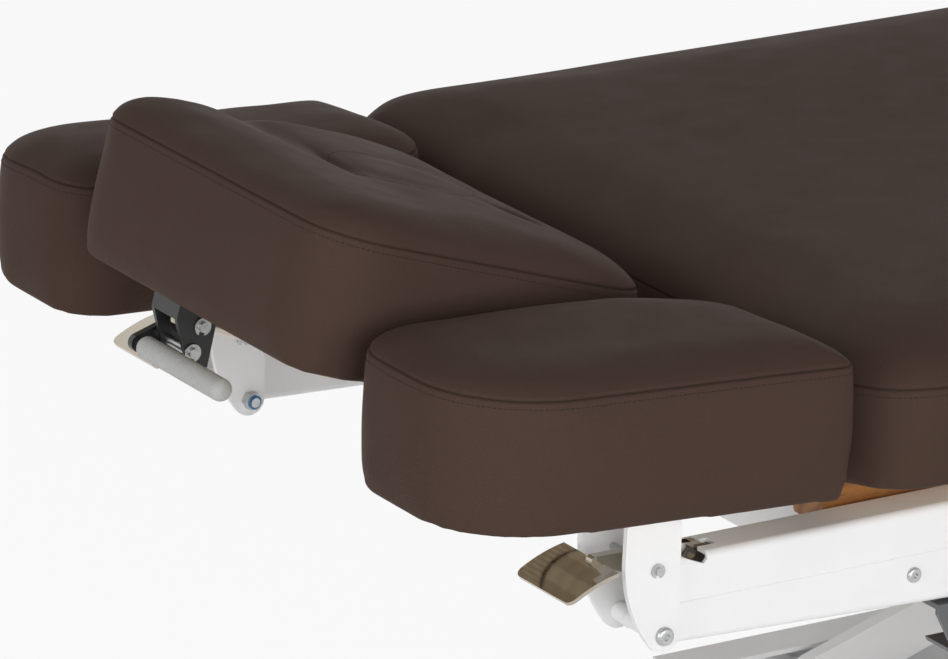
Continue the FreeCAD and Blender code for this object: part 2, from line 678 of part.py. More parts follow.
def control_unit():
    z = PIVOT_BASE_Z
    x1 = BASE_X1 + CONTROL_DEPTH
    half_width = 0.5 * CONTROL_WIDTH
    half_height = 0.5 * CONTROL_HEIGHT
    case = box(BASE_X1, x1, -half_width, half_width, z - half_height, z + half_height)
    case = case.makeFillet(CONTROL_ROUND, [e for e in case.Edges if e.BoundBox.XMax > BASE_X1 + CUT_PAST])

    def pocket(x_from, x_to, wall):
        half_y = INLET_HALF_WIDTH - wall
        half_z = INLET_HALF_HEIGHT - wall
        return box(x_from, x_to, -INLET_SIDE - half_y, -INLET_SIDE + half_y, z - half_z, z + half_z)

    inlet = pocket(x1 - INLET_DEPTH, x1 + INLET_PROUD, 0)
    floor_x = x1 - INLET_FLOOR
    inlet = inlet.cut(pocket(floor_x, x1 + INLET_PROUD + CUT_PAST, INLET_WALL))
    for side, rise in ((-1, -1), (0, 1), (1, -1)):
        y = -INLET_SIDE + side * PRONG_SPREAD
        prong_z = z + rise * PRONG_RISE
        inlet = inlet.fuse(box(floor_x - PRONG_HALF_WIDTH, x1, y - PRONG_HALF_WIDTH, y + PRONG_HALF_WIDTH,
                               prong_z - PRONG_HALF_HEIGHT, prong_z + PRONG_HALF_HEIGHT))
    return {"control_box": case.cut(pocket(x1 - INLET_DEPTH, x1 + CUT_PAST, 0)), "mains_inlet": inlet}


def side_beams():
    """Folded steel beam: tapered and notched head end with two bolt lugs, groove and screw outside."""
    end = BODY_LENGTH - BEAM_FOOT_MARGIN
    top = BOLT_Z + BEAM_TOP

    def profile(shrink, x_start, x_end):
        low = BOLT_Z - BEAM_DEPTH + shrink
        return [(x_start, top - shrink), (x_end, top - shrink), (x_end, low), (BEAM_TAPER_END, low),
                (x_start, BOLT_Z - BEAM_TIP_DEPTH + shrink)]

    beam = plate_xz(profile(0, BEAM_TIP_X, end), BEAM_IN, BEAM_OUT)
    along = [e for e in beam.Edges if e.BoundBox.XLength > BEAM_WIDTH and e.BoundBox.YLength < PART_GAP]
    beam = beam.makeFillet(BEAM_EDGE_R, along)
    inside = profile(SHEET, BEAM_TIP_X - CUT_PAST, end + CUT_PAST)
    beam = beam.cut(plate_xz(inside, BEAM_IN + SHEET, BEAM_OUT - SHEET))
    notch_x = BOLT_X + NOTCH_FOOT
    notch = [(BOLT_X + NOTCH_HEAD, top + CUT_PAST), (notch_x, top + CUT_PAST),
             (notch_x, top - NOTCH_DEPTH + NOTCH_RISE), (notch_x - NOTCH_RISE, top - NOTCH_DEPTH),
             (BOLT_X + NOTCH_HEAD, top)]
    beam = beam.cut(plate_xz(notch, BEAM_IN - CUT_PAST, BEAM_OUT + CUT_PAST))
    beam = beam.cut(box(BEAM_TIP_X - CUT_PAST, BOLT_X + SLOT_FOOT, BEAM_MIDDLE - SLOT_HALF,
                        BEAM_MIDDLE + SLOT_HALF, top - SHEET - CUT_PAST, top + CUT_PAST))
    root = (BEAM_TIP_X + LUG_ROOT_X, BOLT_Z + LUG_ROOT_UP)
    for y0 in (BEAM_IN, BEAM_OUT - SHEET):
        beam = beam.fuse(strap((BOLT_X, BOLT_Z), root, LUG_TIP_R, LUG_R, y0, y0 + SHEET))
    groove_z = BOLT_Z + GROOVE_UP
    beam = beam.cut(box(BEAM_TIP_X - CUT_PAST, end + CUT_PAST, BEAM_OUT - GROOVE_DEPTH,
                        BEAM_OUT + CUT_PAST, groove_z, groove_z + GROOVE_WIDTH))
    beam = beam.cut(through_y(BOLT_X, BOLT_Z, BOLT_R))
    screw_z = BOLT_Z + SCREW_UP
    beam = beam.cut(rod_y(SCREW_X, screw_z, SCREW_R, BEAM_MIDDLE, BEAM_OUT + CUT_PAST))

    crest = BEAM_OUT + SCREW_HEAD_H
    screw = rod_y(SCREW_X, screw_z, SCREW_HEAD_R, BEAM_OUT, crest)
    screw = screw.makeFillet(SCREW_HEAD_ROUND, closed_edges(screw, BEAM_OUT + SCREW_HEAD_ROUND))
    screw = screw.cut(rod_y(SCREW_X, screw_z, SCREW_DRIVE_R, crest - SCREW_DRIVE_DEPTH, crest + CUT_PAST))
    screw = screw.fuse(rod_y(SCREW_X, screw_z, SCREW_R, BEAM_OUT - SHEET - SCREW_PAST, BEAM_OUT))
    parts = both_sides("side_beam", beam.removeSplitter())
    parts.update(both_sides("beam_screw", screw))
    return parts


def top_frame():
    """Crossbars between the beams, wooden rails on them, deck board and long cushion."""
    parts = {}
    for name, x0 in (("cross_head", CROSS_HEAD_X), ("cross_foot", BODY_LENGTH - CROSS_FOOT_MARGIN)):
        parts[name] = square_tube(x0, BEAM_IN, BOLT_Z, BOLT_Z + RAIL_BOTTOM, SHEET)
    rail_out = BEAM_IN - RAIL_GAP
    rail = box(RAIL_HEAD_X, BODY_LENGTH - RAIL_FOOT_MARGIN, rail_out - RAIL_WIDTH, rail_out,
               BOLT_Z + RAIL_BOTTOM, BOLT_Z + PAD_BOTTOM)
    rail = rail.makeChamfer(RAIL_CHAMFER, [e for e in rail.Edges if e.BoundBox.XLength > RAIL_WIDTH])
    parts.update(both_sides("wood_rail", rail))
    deck = board(body_outline, BOLT_Z + PAD_BOTTOM, BODY_BOARD)
    pad = cushion(body_outline, BOLT_Z + PAD_BOTTOM, BOLT_Z + BODY_SEAM, BODY_CROWN, BODY_SHOULDER)
    parts["deck_board"] = deck
    parts["body_cushion"] = pad.cut(deck)
    return parts


def clipped_pin(centre, radius, y0, y1, clip_r, clip_ys):
    """Plain pin held by open spring clips."""
    x, z = centre
    pin = rod_y(x, z, radius, y0, y1)
    mouth = CLIP_MOUTH * clip_r
    for y in clip_ys:
        clip = rod_y(x, z, clip_r, y, y + CLIP_T)
        slit = box(x - mouth, x + mouth, y - CUT_PAST, y + CLIP_T + CUT_PAST,
                   z - clip_r - CUT_PAST, z - radius)
        pin = pin.fuse(clip.cut(slit))
    return pin


def bracket_plate(top_z, y0):
    """Cheek of the armrest bracket: full front edge, round foot about the bolt."""
    foot = math.radians(215)

    def at(dx, dz):
        return V(BOLT_X + dx, y0, BOLT_Z + dz)

    rise = top_z - BOLT_Z
    waist = at(-PLATE_FRONT, PLATE_WAIST_UP)
    toe = at(PLATE_BOTTOM_R * math.cos(foot), PLATE_BOTTOM_R * math.sin(foot))
    heel = at(PLATE_BOTTOM_R, 0)
    edges = [
        Part.makeLine(at(-PLATE_FRONT, rise), waist),
        Part.Arc(waist, at(*PLATE_BELLY), toe).toShape(),
        Part.Arc(toe, at(0, -PLATE_BOTTOM_R), heel).toShape(),
        Part.makeLine(heel, at(PLATE_BACK, rise)),
        Part.makeLine(at(PLATE_BACK, rise), at(-PLATE_FRONT, rise)),
    ]
    return Part.Face(Part.Wire(edges)).extrude(V(0, STEEL, 0))


def armrest_bracket():
    """Saddle under the armrest board with two cheeks that hang over the beam."""
    top_z = BOLT_Z + ARMREST_BOTTOM
    saddle = box(BOLT_X - SADDLE_HEAD, BOLT_X + SADDLE_FOOT, PLATE_IN, PLATE_OUT + STEEL,
                 top_z - STEEL, top_z)
    saddle = saddle.fuse([bracket_plate(top_z - STEEL, y0) for y0 in (PLATE_IN, PLATE_OUT)])
    saddle = saddle.cut(through_y(BOLT_X, BOLT_Z, BOLT_R + RUN_GAP))
    return saddle.cut(through_y(LATCH[0], LATCH[1], LATCH_R)).removeSplitter()


def paddle_blade(back):
    """Finger plate with a gentle downward bend, from the end of its arm towards the head."""
    a0 = math.radians(PADDLE_BACK_DEG)
    a1 = math.radians(PADDLE_FRONT_DEG)
    radius = PADDLE_LENGTH / (a1 - a0)
    y0 = BEAM_MIDDLE - PADDLE_INWARD - 0.5 * PADDLE_WIDTH
    start_x = back[0] + PADDLE_TUCK
    centre_x = start_x + radius * math.sin(a0)
    centre_z = back[1] - radius * math.cos(a0)

    def at(r, a):
        return V(centre_x - r * math.sin(a), y0, centre_z + r * math.cos(a))

    under = radius - SHEET
    middle = 0.5 * (a0 + a1)
    edges = [
        Part.Arc(at(radius, a0), at(radius, middle), at(radius, a1)).toShape(),
        Part.makeLine(at(radius, a1), at(under, a1)),
        Part.Arc(at(under, a1), at(under, middle), at(under, a0)).toShape(),
        Part.makeLine(at(under, a0), at(radius, a0)),
    ]
    blade = Part.Face(Part.Wire(edges)).extrude(V(0, PADDLE_WIDTH, 0))
    short = [e for e in blade.Edges if abs(e.Length - SHEET) < PART_GAP]
    return blade.makeFillet(PADDLE_CORNER, [e for e in short if e.BoundBox.XMax < back[0] - SHEET])


def release_paddle():
    """Latch lever on the clipped pin: forked tail with a pawl nose, finger plate outside."""
    y0 = BEAM_MIDDLE - 0.5 * PADDLE_ARM
    y1 = BEAM_MIDDLE + 0.5 * PADDLE_ARM
    back = (LATCH[0] - PADDLE_BACK_X, BOLT_Z + PADDLE_BACK_Z)
    nose_r = RATCHET_R + PART_GAP + NOSE_R
    nose_a = math.radians(NOSE_DEG)
    nose = (BOLT_X + nose_r * math.cos(nose_a), BOLT_Z + nose_r * math.sin(nose_a))
    root = (BOLT_X + NOSE_ROOT[0], BOLT_Z + NOSE_ROOT[1])
    tail = (BOLT_X + TAIL_HUB[0], BOLT_Z + TAIL_HUB[1])
    lever = strap(LATCH, back, PADDLE_EYE_R, PADDLE_TIP_R, y0, y1)
    lever = lever.fuse([
        strap(LATCH, tail, PADDLE_EYE_R, TAIL_HUB_R, y0, y1),
        plate_xz([(BOLT_X + dx, BOLT_Z + dz) for dx, dz in TAIL_FORK], y0, y1),
        strap(root, nose, NOSE_ROOT_R, NOSE_R, y0, y1),
        paddle_blade(back),
    ])
    lever = lever.cut(through_y(tail[0], tail[1], TAIL_BORE_R))
    return lever.cut(through_y(LATCH[0], LATCH[1], LATCH_R + RUN_GAP)).removeSplitter()


def ratchet():
    """Toothed sector on the bolt, inside the end of the beam, with a tail seated between its walls."""
    y0 = BEAM_MIDDLE - 0.5 * RATCHET_T
    y1 = BEAM_MIDDLE + 0.5 * RATCHET_T
    wall_in = BEAM_IN + SHEET
    wall_out = BEAM_OUT - SHEET
    reach = 2 * RATCHET_R
    wedge = [(BOLT_X, BOLT_Z)]
    for degrees in (RATCHET_FACE_DEG, 0.5 * (RATCHET_FACE_DEG + RATCHET_END_DEG), RATCHET_END_DEG):
        angle = math.radians(degrees)
        wedge.append((BOLT_X + reach * math.cos(angle), BOLT_Z + reach * math.sin(angle)))
    sector = rod_y(BOLT_X, BOLT_Z, RATCHET_R, y0, y1).common(plate_xz(wedge, wall_in, wall_out))
    for k in range(TOOTH_COUNT):
        angle = math.radians(NOSE_DEG - ARMREST_TILT_DEG + (k + 0.5) * TOOTH_STEP_DEG)
        tooth_x = BOLT_X + RATCHET_R * math.cos(angle)
        tooth_z = BOLT_Z + RATCHET_R * math.sin(angle)
        sector = sector.cut(rod_y(tooth_x, tooth_z, TOOTH_R, wall_in, wall_out))
    tail_x = BOLT_X + RATCHET_TAIL
    seat_z = BOLT_Z + RATCHET_SEAT_UP
    sector = sector.fuse([
        box(BOLT_X, tail_x, y0, y1, BOLT_Z - RATCHET_TAIL_BOTTOM, BOLT_Z + RATCHET_TAIL_TOP),
        rod_y(BOLT_X, BOLT_Z, RATCHET_HUB_R, wall_in, wall_out),
        box(BOLT_X + RATCHET_SEAT_X, tail_x, wall_in, wall_out, seat_z, seat_z + RATCHET_SEAT_T),
    ])
    return sector.cut(through_y(BOLT_X, BOLT_Z, BOLT_R)).removeSplitter()


def pivot_bolt():
    """Button-head bolt outside, nut inside, through both cheeks and the beam."""
    head_y = PLATE_OUT + STEEL + PART_GAP
    nut_y = PLATE_IN - PART_GAP
    crest = head_y + BOLT_HEAD_H
    head = rod_y(BOLT_X, BOLT_Z, BOLT_HEAD_R, head_y, crest)
    head = head.makeFillet(BOLT_HEAD_ROUND, closed_edges(head, head_y + BOLT_HEAD_ROUND))
    head = head.cut(hexagon_y(BOLT_X, BOLT_Z, BOLT_KEY_R, crest - BOLT_KEY_DEPTH, crest + CUT_PAST))
    shank = rod_y(BOLT_X, BOLT_Z, BOLT_R, nut_y - BOLT_TAIL, head_y)
    return shank.fuse([head, hexagon_y(BOLT_X, BOLT_Z, NUT_R, nut_y - NUT_H, nut_y)]).removeSplitter()


def armrests():
    """Left armrest built level, then set to its resting tilt about the bolt, and mirrored."""
    bottom = BOLT_Z + ARMREST_BOTTOM
    plank = board(armrest_outline, bottom, SMALL_BOARD)
    pad = cushion(armrest_outline, bottom, BOLT_Z + ARMREST_SEAM, ARMREST_CROWN, ARMREST_SHOULDER)
    clips = (PLATE_IN - CLIP_T - CLIP_SET, PLATE_OUT + STEEL + CLIP_SET)
    moving = {
        "armrest_board": plank,
        "armrest_cushion": pad.cut(plank),
        "armrest_bracket": armrest_bracket(),
        "latch_pin": clipped_pin(LATCH, LATCH_R, PLATE_IN - LATCH_PAST, PLATE_OUT + STEEL + LATCH_PAST,
                                 CLIP_R, clips),
        "release_paddle": release_paddle(),
    }
    parts = {}
    for name, shape in moving.items():
        parts.update(both_sides(name, turned(shape, BOLT_X, BOLT_Z, ARMREST_TILT_DEG)))
    spacer = rod_y(BOLT_X, BOLT_Z, SPACER_R, BEAM_IN - SPACER_LENGTH, BEAM_IN)
    parts.update(both_sides("pivot_spacer", spacer.cut(through_y(BOLT_X, BOLT_Z, BOLT_R))))
    parts.update(both_sides("pivot_bolt", pivot_bolt()))
    parts.update(both_sides("ratchet", ratchet()))
    return parts


def headrest_pad():
    """Wedge-shaped pad on its board, with a face opening and the plug that closes it."""
    bottom = HINGE_Z + HEAD_BOTTOM
    plank = board(head_outline, bottom, SMALL_BOARD)
    pad = cushion(head_outline, bottom, HINGE_Z + HEAD_SEAM, HEAD_CROWN, HEAD_SHOULDER)
    tall = V(0, 0, HEAD_SEAM + HEAD_HALF)
    opening = Part.Face(plug_outline(HINGE_Z, 0)).extrude(tall)
    ledge = Part.Face(plug_outline(HINGE_Z, PLUG_LEDGE)).extrude(tall)
    foot = bottom + SMALL_BOARD
    top = HINGE_Z + HEAD_SEAM + HEAD_CROWN - PLUG_SET_DOWN
    levels = [
        plug_outline(foot, PLUG_GAP + PLUG_FOOT_IN),
        plug_outline(foot + PLUG_FOOT_H, PLUG_GAP),
        plug_outline(top, PLUG_GAP, HEAD_WEDGE_DEG),
        plug_outline(top + 0.55 * PLUG_CROWN, PLUG_GAP + 0.2 * PLUG_SHOULDER, HEAD_WEDGE_DEG),
        plug_outline(top + PLUG_CROWN, PLUG_GAP + PLUG_SHOULDER, HEAD_WEDGE_DEG),
    ]
    return {
        "headrest_board": plank.cut(ledge),
        "headrest_cushion": pad.cut(plank).cut(opening),
        "face_plug": Part.makeLoft(levels, True, True),
    }


def head_hinge():
    """Leaf under the headrest board with two ears, on one long pin."""
    under = HINGE_Z + HEAD_BOTTOM - STEEL
    leaf = box(HINGE_X + LEAF_HEAD, HINGE_X + LEAF_FOOT, -LEAF_HALF, LEAF_HALF, under, under + STEEL)
    ear = plate_xz([(HINGE_X + LEAF_HEAD, under), (HINGE_X + LEAF_FOOT, under),
                    (HINGE_X + EAR_TOP[0], HINGE_Z + EAR_TOP[1]),
                    (HINGE_X + EAR_UNDER[0], HINGE_Z + EAR_UNDER[1])], HINGE_EAR - STEEL, HINGE_EAR)
    ear = ear.fuse(rod_y(HINGE_X, HINGE_Z, HINGE_EAR_EYE_R, HINGE_EAR - STEEL, HINGE_EAR))
    leaf = leaf.fuse([ear, mirrored(ear)]).cut(through_y(HINGE_X, HINGE_Z, HINGE_R))
    reach = HINGE_ARM + HINGE_PIN_PAST
    pin = rod_y(HINGE_X, HINGE_Z, HINGE_R, -reach, reach)
    return {"hinge_plate": leaf.removeSplitter(), "hinge_pin": pin}


def head_lock():
    """Folded bracket under the head end, its two clipped pins, and the release lever with its grip."""
    def place(uv):
        return (HINGE_X + uv[0], HINGE_Z + uv[1])

    x0 = HINGE_X + LOCK_FRONT
    x1 = HINGE_X + LOCK_BACK
    top = HINGE_Z + HEAD_BOTTOM
    flange_bottom = HINGE_Z + LOCK_FLANGE_BOTTOM
    upper = place(UPPER_PIN)
    lower = place(LOWER_PIN)
    grip_at = place(GRIP_AT)
    cheek = [(x0, top), (x1, top), (x1, HINGE_Z + LOCK_BACK_BOTTOM), place(LOCK_HEEL), place(LOCK_CHIN),
             (x0, flange_bottom)]
    lock = box(x0, x1, LOCK_Y0, LOCK_Y1, top - LOCK_SHEET, top)
    lock = lock.fuse(box(x0, x0 + LOCK_SHEET, LOCK_Y0, LOCK_Y1, flange_bottom, top))
    lock = lock.fuse([plate_xz(cheek, y0, y0 + LOCK_SHEET) for y0 in (LOCK_Y0, LOCK_Y1 - LOCK_SHEET)])
    for pin in (upper, lower):
        lock = lock.cut(through_y(pin[0], pin[1], PIN_R))

    arm_y = LEVER_END_Y - LEVER_ARM
    rod_end = GRIP_Y0 + GRIP_END_WALL
    lever = rod_y(lower[0], lower[1], LEVER_SLEEVE_R, LOCK_Y1 + PART_GAP, LEVER_END_Y)
    lever = lever.fuse([
        strap(lower, grip_at, LEVER_EYE_R, LEVER_TIP_R, arm_y, LEVER_END_Y),
        rod_y(grip_at[0], grip_at[1], LEVER_ROD_R, rod_end, arm_y + 0.5 * LEVER_ARM),
    ])
    lever = lever.cut(through_y(lower[0], lower[1], PIN_R + RUN_GAP))

    grip = rod_y(grip_at[0], grip_at[1], GRIP_R, GRIP_Y0, GRIP_Y1)
    end = [e for e in grip.Edges if e.Closed and e.BoundBox.YMax < GRIP_Y1]
    grip = grip.makeFillet(GRIP_ROUND, end)
    grip = grip.makeFillet(GRIP_RIM, closed_edges(grip, GRIP_Y1 - PART_GAP))
    grip = grip.cut(rod_y(grip_at[0], grip_at[1], LEVER_ROD_R, rod_end, GRIP_Y1 + CUT_PAST))

    clip_in = LOCK_Y0 - CLIP_T - CLIP_SET
    pin_in = LOCK_Y0 - PIN_PAST
    return {
        "lock_bracket": lock.removeSplitter(),
        "lock_pin_upper": clipped_pin(upper, PIN_R, pin_in, LOCK_Y1 + PIN_PAST, PIN_CLIP_R,
                                      (clip_in, LOCK_Y1 + CLIP_SET)),
        "lock_pin_lower": clipped_pin(lower, PIN_R, pin_in, LEVER_END_Y + PIN_PAST, PIN_CLIP_R,
                                      (clip_in, LEVER_END_Y + CLIP_SET)),
        "release_lever": lever.removeSplitter(),
        "release_grip": grip,
    }


def headrest_stand():
    """Bent plate on the head crossbar that carries the headrest hinge and the gas spring."""
    x1 = CROSS_HEAD_X
    x0 = x1 - STAND_THICK
    middle_x = 0.5 * (x0 + x1)
    stand = box(x0, x1, -STAND_HALF, STAND_HALF, BOLT_Z, BOLT_Z + RAIL_BOTTOM)
    y0 = HINGE_ARM - STEEL
    arm = plate_xz([(middle_x, BOLT_Z), (middle_x, BOLT_Z + RAIL_BOTTOM),
                    (HINGE_X + STAND_ARM_TOP[0], HINGE_Z + STAND_ARM_TOP[1]),
                    (HINGE_X + STAND_ARM_UNDER[0], HINGE_Z + STAND_ARM_UNDER[1])], y0, HINGE_ARM)
    arm = arm.fuse(rod_y(HINGE_X, HINGE_Z, HINGE_EYE_R, y0, HINGE_ARM))
    stand = stand.fuse([arm, mirrored(arm)]).cut(through_y(HINGE_X, HINGE_Z, HINGE_R + RUN_GAP))

    foot = (HINGE_X + GAS_FOOT[0], HINGE_Z + GAS_FOOT[1])
    root = (middle_x, foot[1] - GAS_LUG_ROOT_DROP)
    middle = 0.5 * (LOCK_Y0 + LOCK_Y1)
    half_eye = 0.5 * GAS_EYE_T
    for lug_y in (middle - half_eye - PART_GAP - GAS_LUG, middle + half_eye + PART_GAP):
        lug = strap(foot, root, PIN_R + STEEL, GAS_LUG_ROOT_R, lug_y, lug_y + GAS_LUG)
        lug = lug.cut(box(x1, x1 + CROSS_WIDTH, lug_y, lug_y + GAS_LUG,
                          BOLT_Z - BEAM_DEPTH, BOLT_Z + BEAM_TOP))
        stand = stand.fuse(lug)
    reach = half_eye + GAS_PIN_PAST
    stand = stand.fuse(rod_y(foot[0], foot[1], PIN_R, middle - reach, middle + reach))
    return {"headrest_stand": stand.removeSplitter()}


def rest_point(level):
    """Point of the headrest's level frame, in its resting tilt."""
    cos = math.cos(math.radians(HEAD_TILT_DEG))
    sin = math.sin(math.radians(HEAD_TILT_DEG))
    u, v = level
    return (HINGE_X + u * cos + v * sin, HINGE_Z - u * sin + v * cos)


def gas_line():
    """Length and direction from the gas spring's foot to the upper lock pin."""
    eye = rest_point(UPPER_PIN)
    dx = eye[0] - (HINGE_X + GAS_FOOT[0])
    dz = eye[1] - (HINGE_Z + GAS_FOOT[1])
    return math.hypot(dx, dz), math.atan2(dz, dx)


def gas_spring():
    """Cylinder with a foot eye, and rod whose upper eye has play round the lock pin."""
    length, lean = gas_line()
    half_eye = 0.5 * GAS_EYE_T
    tube_end = GAS_TUBE_START + GAS_TUBE
    tube = rod_x(0, 0, GAS_R, GAS_TUBE_START, tube_end)
    tube = tube.makeFillet(GAS_ROUND, [e for e in tube.Edges if e.Closed])
    tube = tube.fuse([rod_x(0, 0, GAS_NECK_R, 0, GAS_TUBE_START + GAS_ROUND),
                      rod_y(0, 0, GAS_FOOT_EYE_R, -half_eye, half_eye)])
    tube = tube.cut(through_y(0, 0, PIN_R + RUN_GAP))
    tube = tube.cut(rod_x(0, 0, GAS_ROD_R + RUN_GAP, GAS_BORE_START, tube_end + CUT_PAST))
    stem = rod_x(0, 0, GAS_ROD_R, GAS_ROD_START, length - GAS_EYE_R + PART_GAP * GAS_ROD_R)
    stem = stem.fuse(rod_y(length, 0, GAS_EYE_R, -half_eye, half_eye))
    stem = stem.cut(through_y(length, 0, PIN_R + GAS_EYE_PLAY))
    parts = {"gas_cylinder": tube, "gas_rod": stem}
    for shape in parts.values():
        shape.rotate(V(0, 0, 0), V(0, 1, 0), -math.degrees(lean))
        shape.translate(V(HINGE_X + GAS_FOOT[0], 0.5 * (LOCK_Y0 + LOCK_Y1), HINGE_Z + GAS_FOOT[1]))
    return parts


def headrest():
    """Headrest built level about its hinge, then tilted to rest."""
    moving = {}
    for build in (headrest_pad, head_hinge, head_lock):
        moving.update(build())
    return {name: turned(shape, HINGE_X, HINGE_Z, HEAD_TILT_DEG) for name, shape in moving.items()}


def assemble():
    parts = {}
    for build in (upper_tracks, base_frame, foot_bar, levelling_feet, scissor_arms, rollers, lift_drive,
                  control_unit, side_beams, top_frame, armrests, headrest, headrest_stand, gas_spring):
        parts.update(build())
    return parts


def centre_shift(parts):
    """Shift along X that puts the origin under the middle of the whole length."""
    boxes = [shape.optimalBoundingBox() for shape in parts.values()]
    return -0.5 * (min(b.XMin for b in boxes) + max(b.XMax for b in boxes))


def main():
    parts = assemble()
    shift = centre_shift(parts)
    os.makedirs("parts", exist_ok=True)
    for name, shape in parts.items():
        moved = shape.translated(V(shift, 0, 0))
        if len(moved.Solids) == 1:
            moved = moved.Solids[0]
        moved.exportStep("parts/%s.step" % name)


if __name__ == "__main__":
    main()
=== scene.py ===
# %% [markdown]
# # An electric massage table, from bare frame to finished picture
# The frame already holds every rigid piece at its true size, grouped into the bodies that move.
# Here the table gets what a buyer would notice first: plump upholstery with seams and stitches,
# powder coat, polished steel and wood. Everything is in metres, with +X from head to foot,
# +Y to the left side and +Z up.

import json
import math

import bmesh
import bpy
import numpy as np
from mathutils import Matrix, Vector


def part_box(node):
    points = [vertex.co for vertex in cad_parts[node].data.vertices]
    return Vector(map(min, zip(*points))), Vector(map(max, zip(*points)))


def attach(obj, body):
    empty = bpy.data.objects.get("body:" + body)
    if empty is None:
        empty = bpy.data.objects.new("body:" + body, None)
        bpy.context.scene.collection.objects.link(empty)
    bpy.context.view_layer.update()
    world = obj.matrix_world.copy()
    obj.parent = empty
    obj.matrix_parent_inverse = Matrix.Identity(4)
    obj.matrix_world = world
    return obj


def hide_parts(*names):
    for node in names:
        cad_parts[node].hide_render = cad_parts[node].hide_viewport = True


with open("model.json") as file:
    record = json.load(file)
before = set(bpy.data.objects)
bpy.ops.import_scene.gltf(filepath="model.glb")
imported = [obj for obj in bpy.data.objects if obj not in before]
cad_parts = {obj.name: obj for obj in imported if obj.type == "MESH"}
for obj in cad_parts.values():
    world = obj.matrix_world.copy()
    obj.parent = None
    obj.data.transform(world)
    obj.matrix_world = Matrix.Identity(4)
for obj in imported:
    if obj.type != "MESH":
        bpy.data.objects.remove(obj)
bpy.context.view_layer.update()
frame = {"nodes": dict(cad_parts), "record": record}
nodes = frame["nodes"]

# %% [markdown]
# ## Camera
# A long lens far away keeps the table's edges nearly parallel, as in a catalogue picture.
# The camera could be placed by eye, but it is steadier to hang it on one known point: the head of
# the near armrest bolt, which has to land on a known pixel. The three axes of the camera follow
# from its compass angle and its elevation.

# %% Camera
PICTURE_WIDTH = 948
PICTURE_HEIGHT = 659
SENSOR_MM = 36.0
FOCAL_PIXELS = 8500.0
VIEW_TURN = math.radians(30.43)
VIEW_ELEVATION = math.radians(18.27)
BOLT_PIXEL = (662.0, 635.0)
BOLT_DEPTH = 6.2423
BOLT_FACE_SET_BACK = 0.0073
FAR_LIMIT = 200.0


def centre_of(node):
    low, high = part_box(node)
    return (low + high) / 2


def place_camera():
    ahead = Vector((math.sin(VIEW_TURN) * math.cos(VIEW_ELEVATION),
                    math.cos(VIEW_TURN) * math.cos(VIEW_ELEVATION), -math.sin(VIEW_ELEVATION)))
    right = Vector((math.cos(VIEW_TURN), -math.sin(VIEW_TURN), 0))
    up = right.cross(ahead)
    bolt = centre_of("pivot_bolt_right")
    bolt.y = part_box("pivot_bolt_right")[0].y + BOLT_FACE_SET_BACK
    per_pixel = BOLT_DEPTH / FOCAL_PIXELS
    spot = bolt - ahead * BOLT_DEPTH
    spot -= right * (BOLT_PIXEL[0] - PICTURE_WIDTH / 2) * per_pixel
    spot += up * (BOLT_PIXEL[1] - PICTURE_HEIGHT / 2) * per_pixel
    data = bpy.data.cameras.new("portrait_camera")
    data.sensor_width = SENSOR_MM
    data.lens = SENSOR_MM * FOCAL_PIXELS / PICTURE_WIDTH
    data.clip_end = FAR_LIMIT
    camera = bpy.data.objects.new("portrait_camera", data)
    turn = Matrix((right, up, -ahead)).transposed()
    camera.matrix_world = Matrix.Translation(spot) @ turn.to_4x4()
    bpy.context.scene.collection.objects.link(camera)
    bpy.context.scene.camera = camera
    return camera


camera = place_camera()
print("camera at", tuple(round(x, 3) for x in camera.location), "lens", round(camera.data.lens, 1))

# %% [markdown]
# ## Shader helpers
# Node trees get long when each node is added by hand, so a few small helpers do the typing: one
# adds a node and fills in its sockets, others add the nodes for sums, ranges and mixes, and one
# makes a reusable node group with named sockets.
# Colours are written as the eye reads them, 0 to 255, and turned into the linear values that
# shaders expect.

# %% Shader helpers


def linear(red, green, blue):
    """Display colour, 0 to 255 each, as linear light with alpha."""
    def channel(value):
        share = value / 255
        return share / 12.92 if share <= 0.04045 else ((share + 0.055) / 1.055) ** 2.4
    return (channel(red), channel(green), channel(blue), 1.0)


def darker(colour, share):
    return tuple(share * value for value in colour[:3]) + (1.0,)


def add(tree, kind, settings=None, **sockets):
    """New node; sockets are named as in the editor, with _ for a space, or given as in0, in1."""
    made = tree.nodes.new(kind)
    for key, value in (settings or {}).items():
        setattr(made, key, value)
    for key, value in sockets.items():
        socket = made.inputs[int(key[2:])] if key[:2] == "in" and key[2:].isdigit() else None
        socket = socket or made.inputs[key.replace("_", " ")]
        if isinstance(value, bpy.types.NodeSocket):
            tree.links.new(value, socket)
        else:
            socket.default_value = value
    return made


def math_node(tree, operation, a, b=0.0):
    return add(tree, "ShaderNodeMath", {"operation": operation}, in0=a, in1=b).outputs[0]


def remap(tree, value, low, high, to_low, to_high):
    """The range from low to high, stretched to the range from to_low to to_high."""
    made = add(tree, "ShaderNodeMapRange", None, Value=value, From_Min=low, From_Max=high,
               To_Min=to_low, To_Max=to_high)
    return made.outputs["Result"]


def mix_colour(tree, share, a, b):
    """Colour a where share is 0, b where it is 1; 6, 7 and 2 are the node's colour sockets."""
    made = add(tree, "ShaderNodeMix", {"data_type": "RGBA"}, in0=share, in6=a, in7=b)
    return made.outputs[2]


def shader_group(name, inputs, outputs):
    """Empty node group with float or vector sockets; returns the group and its two end nodes."""
    group = bpy.data.node_groups.new(name, "ShaderNodeTree")
    for label, value in inputs.items():
        kind = "NodeSocketVector" if value is None else "NodeSocketFloat"
        socket = group.interface.new_socket(label, in_out="INPUT", socket_type=kind)
        if value is not None:
            socket.default_value = value
    for label in outputs:
        group.interface.new_socket(label, in_out="OUTPUT", socket_type="NodeSocketFloat")
    return group, group.nodes.new("NodeGroupInput"), group.nodes.new("NodeGroupOutput")


def use(tree, group, **sockets):
    return add(tree, "ShaderNodeGroup", {"node_tree": group}, **sockets)


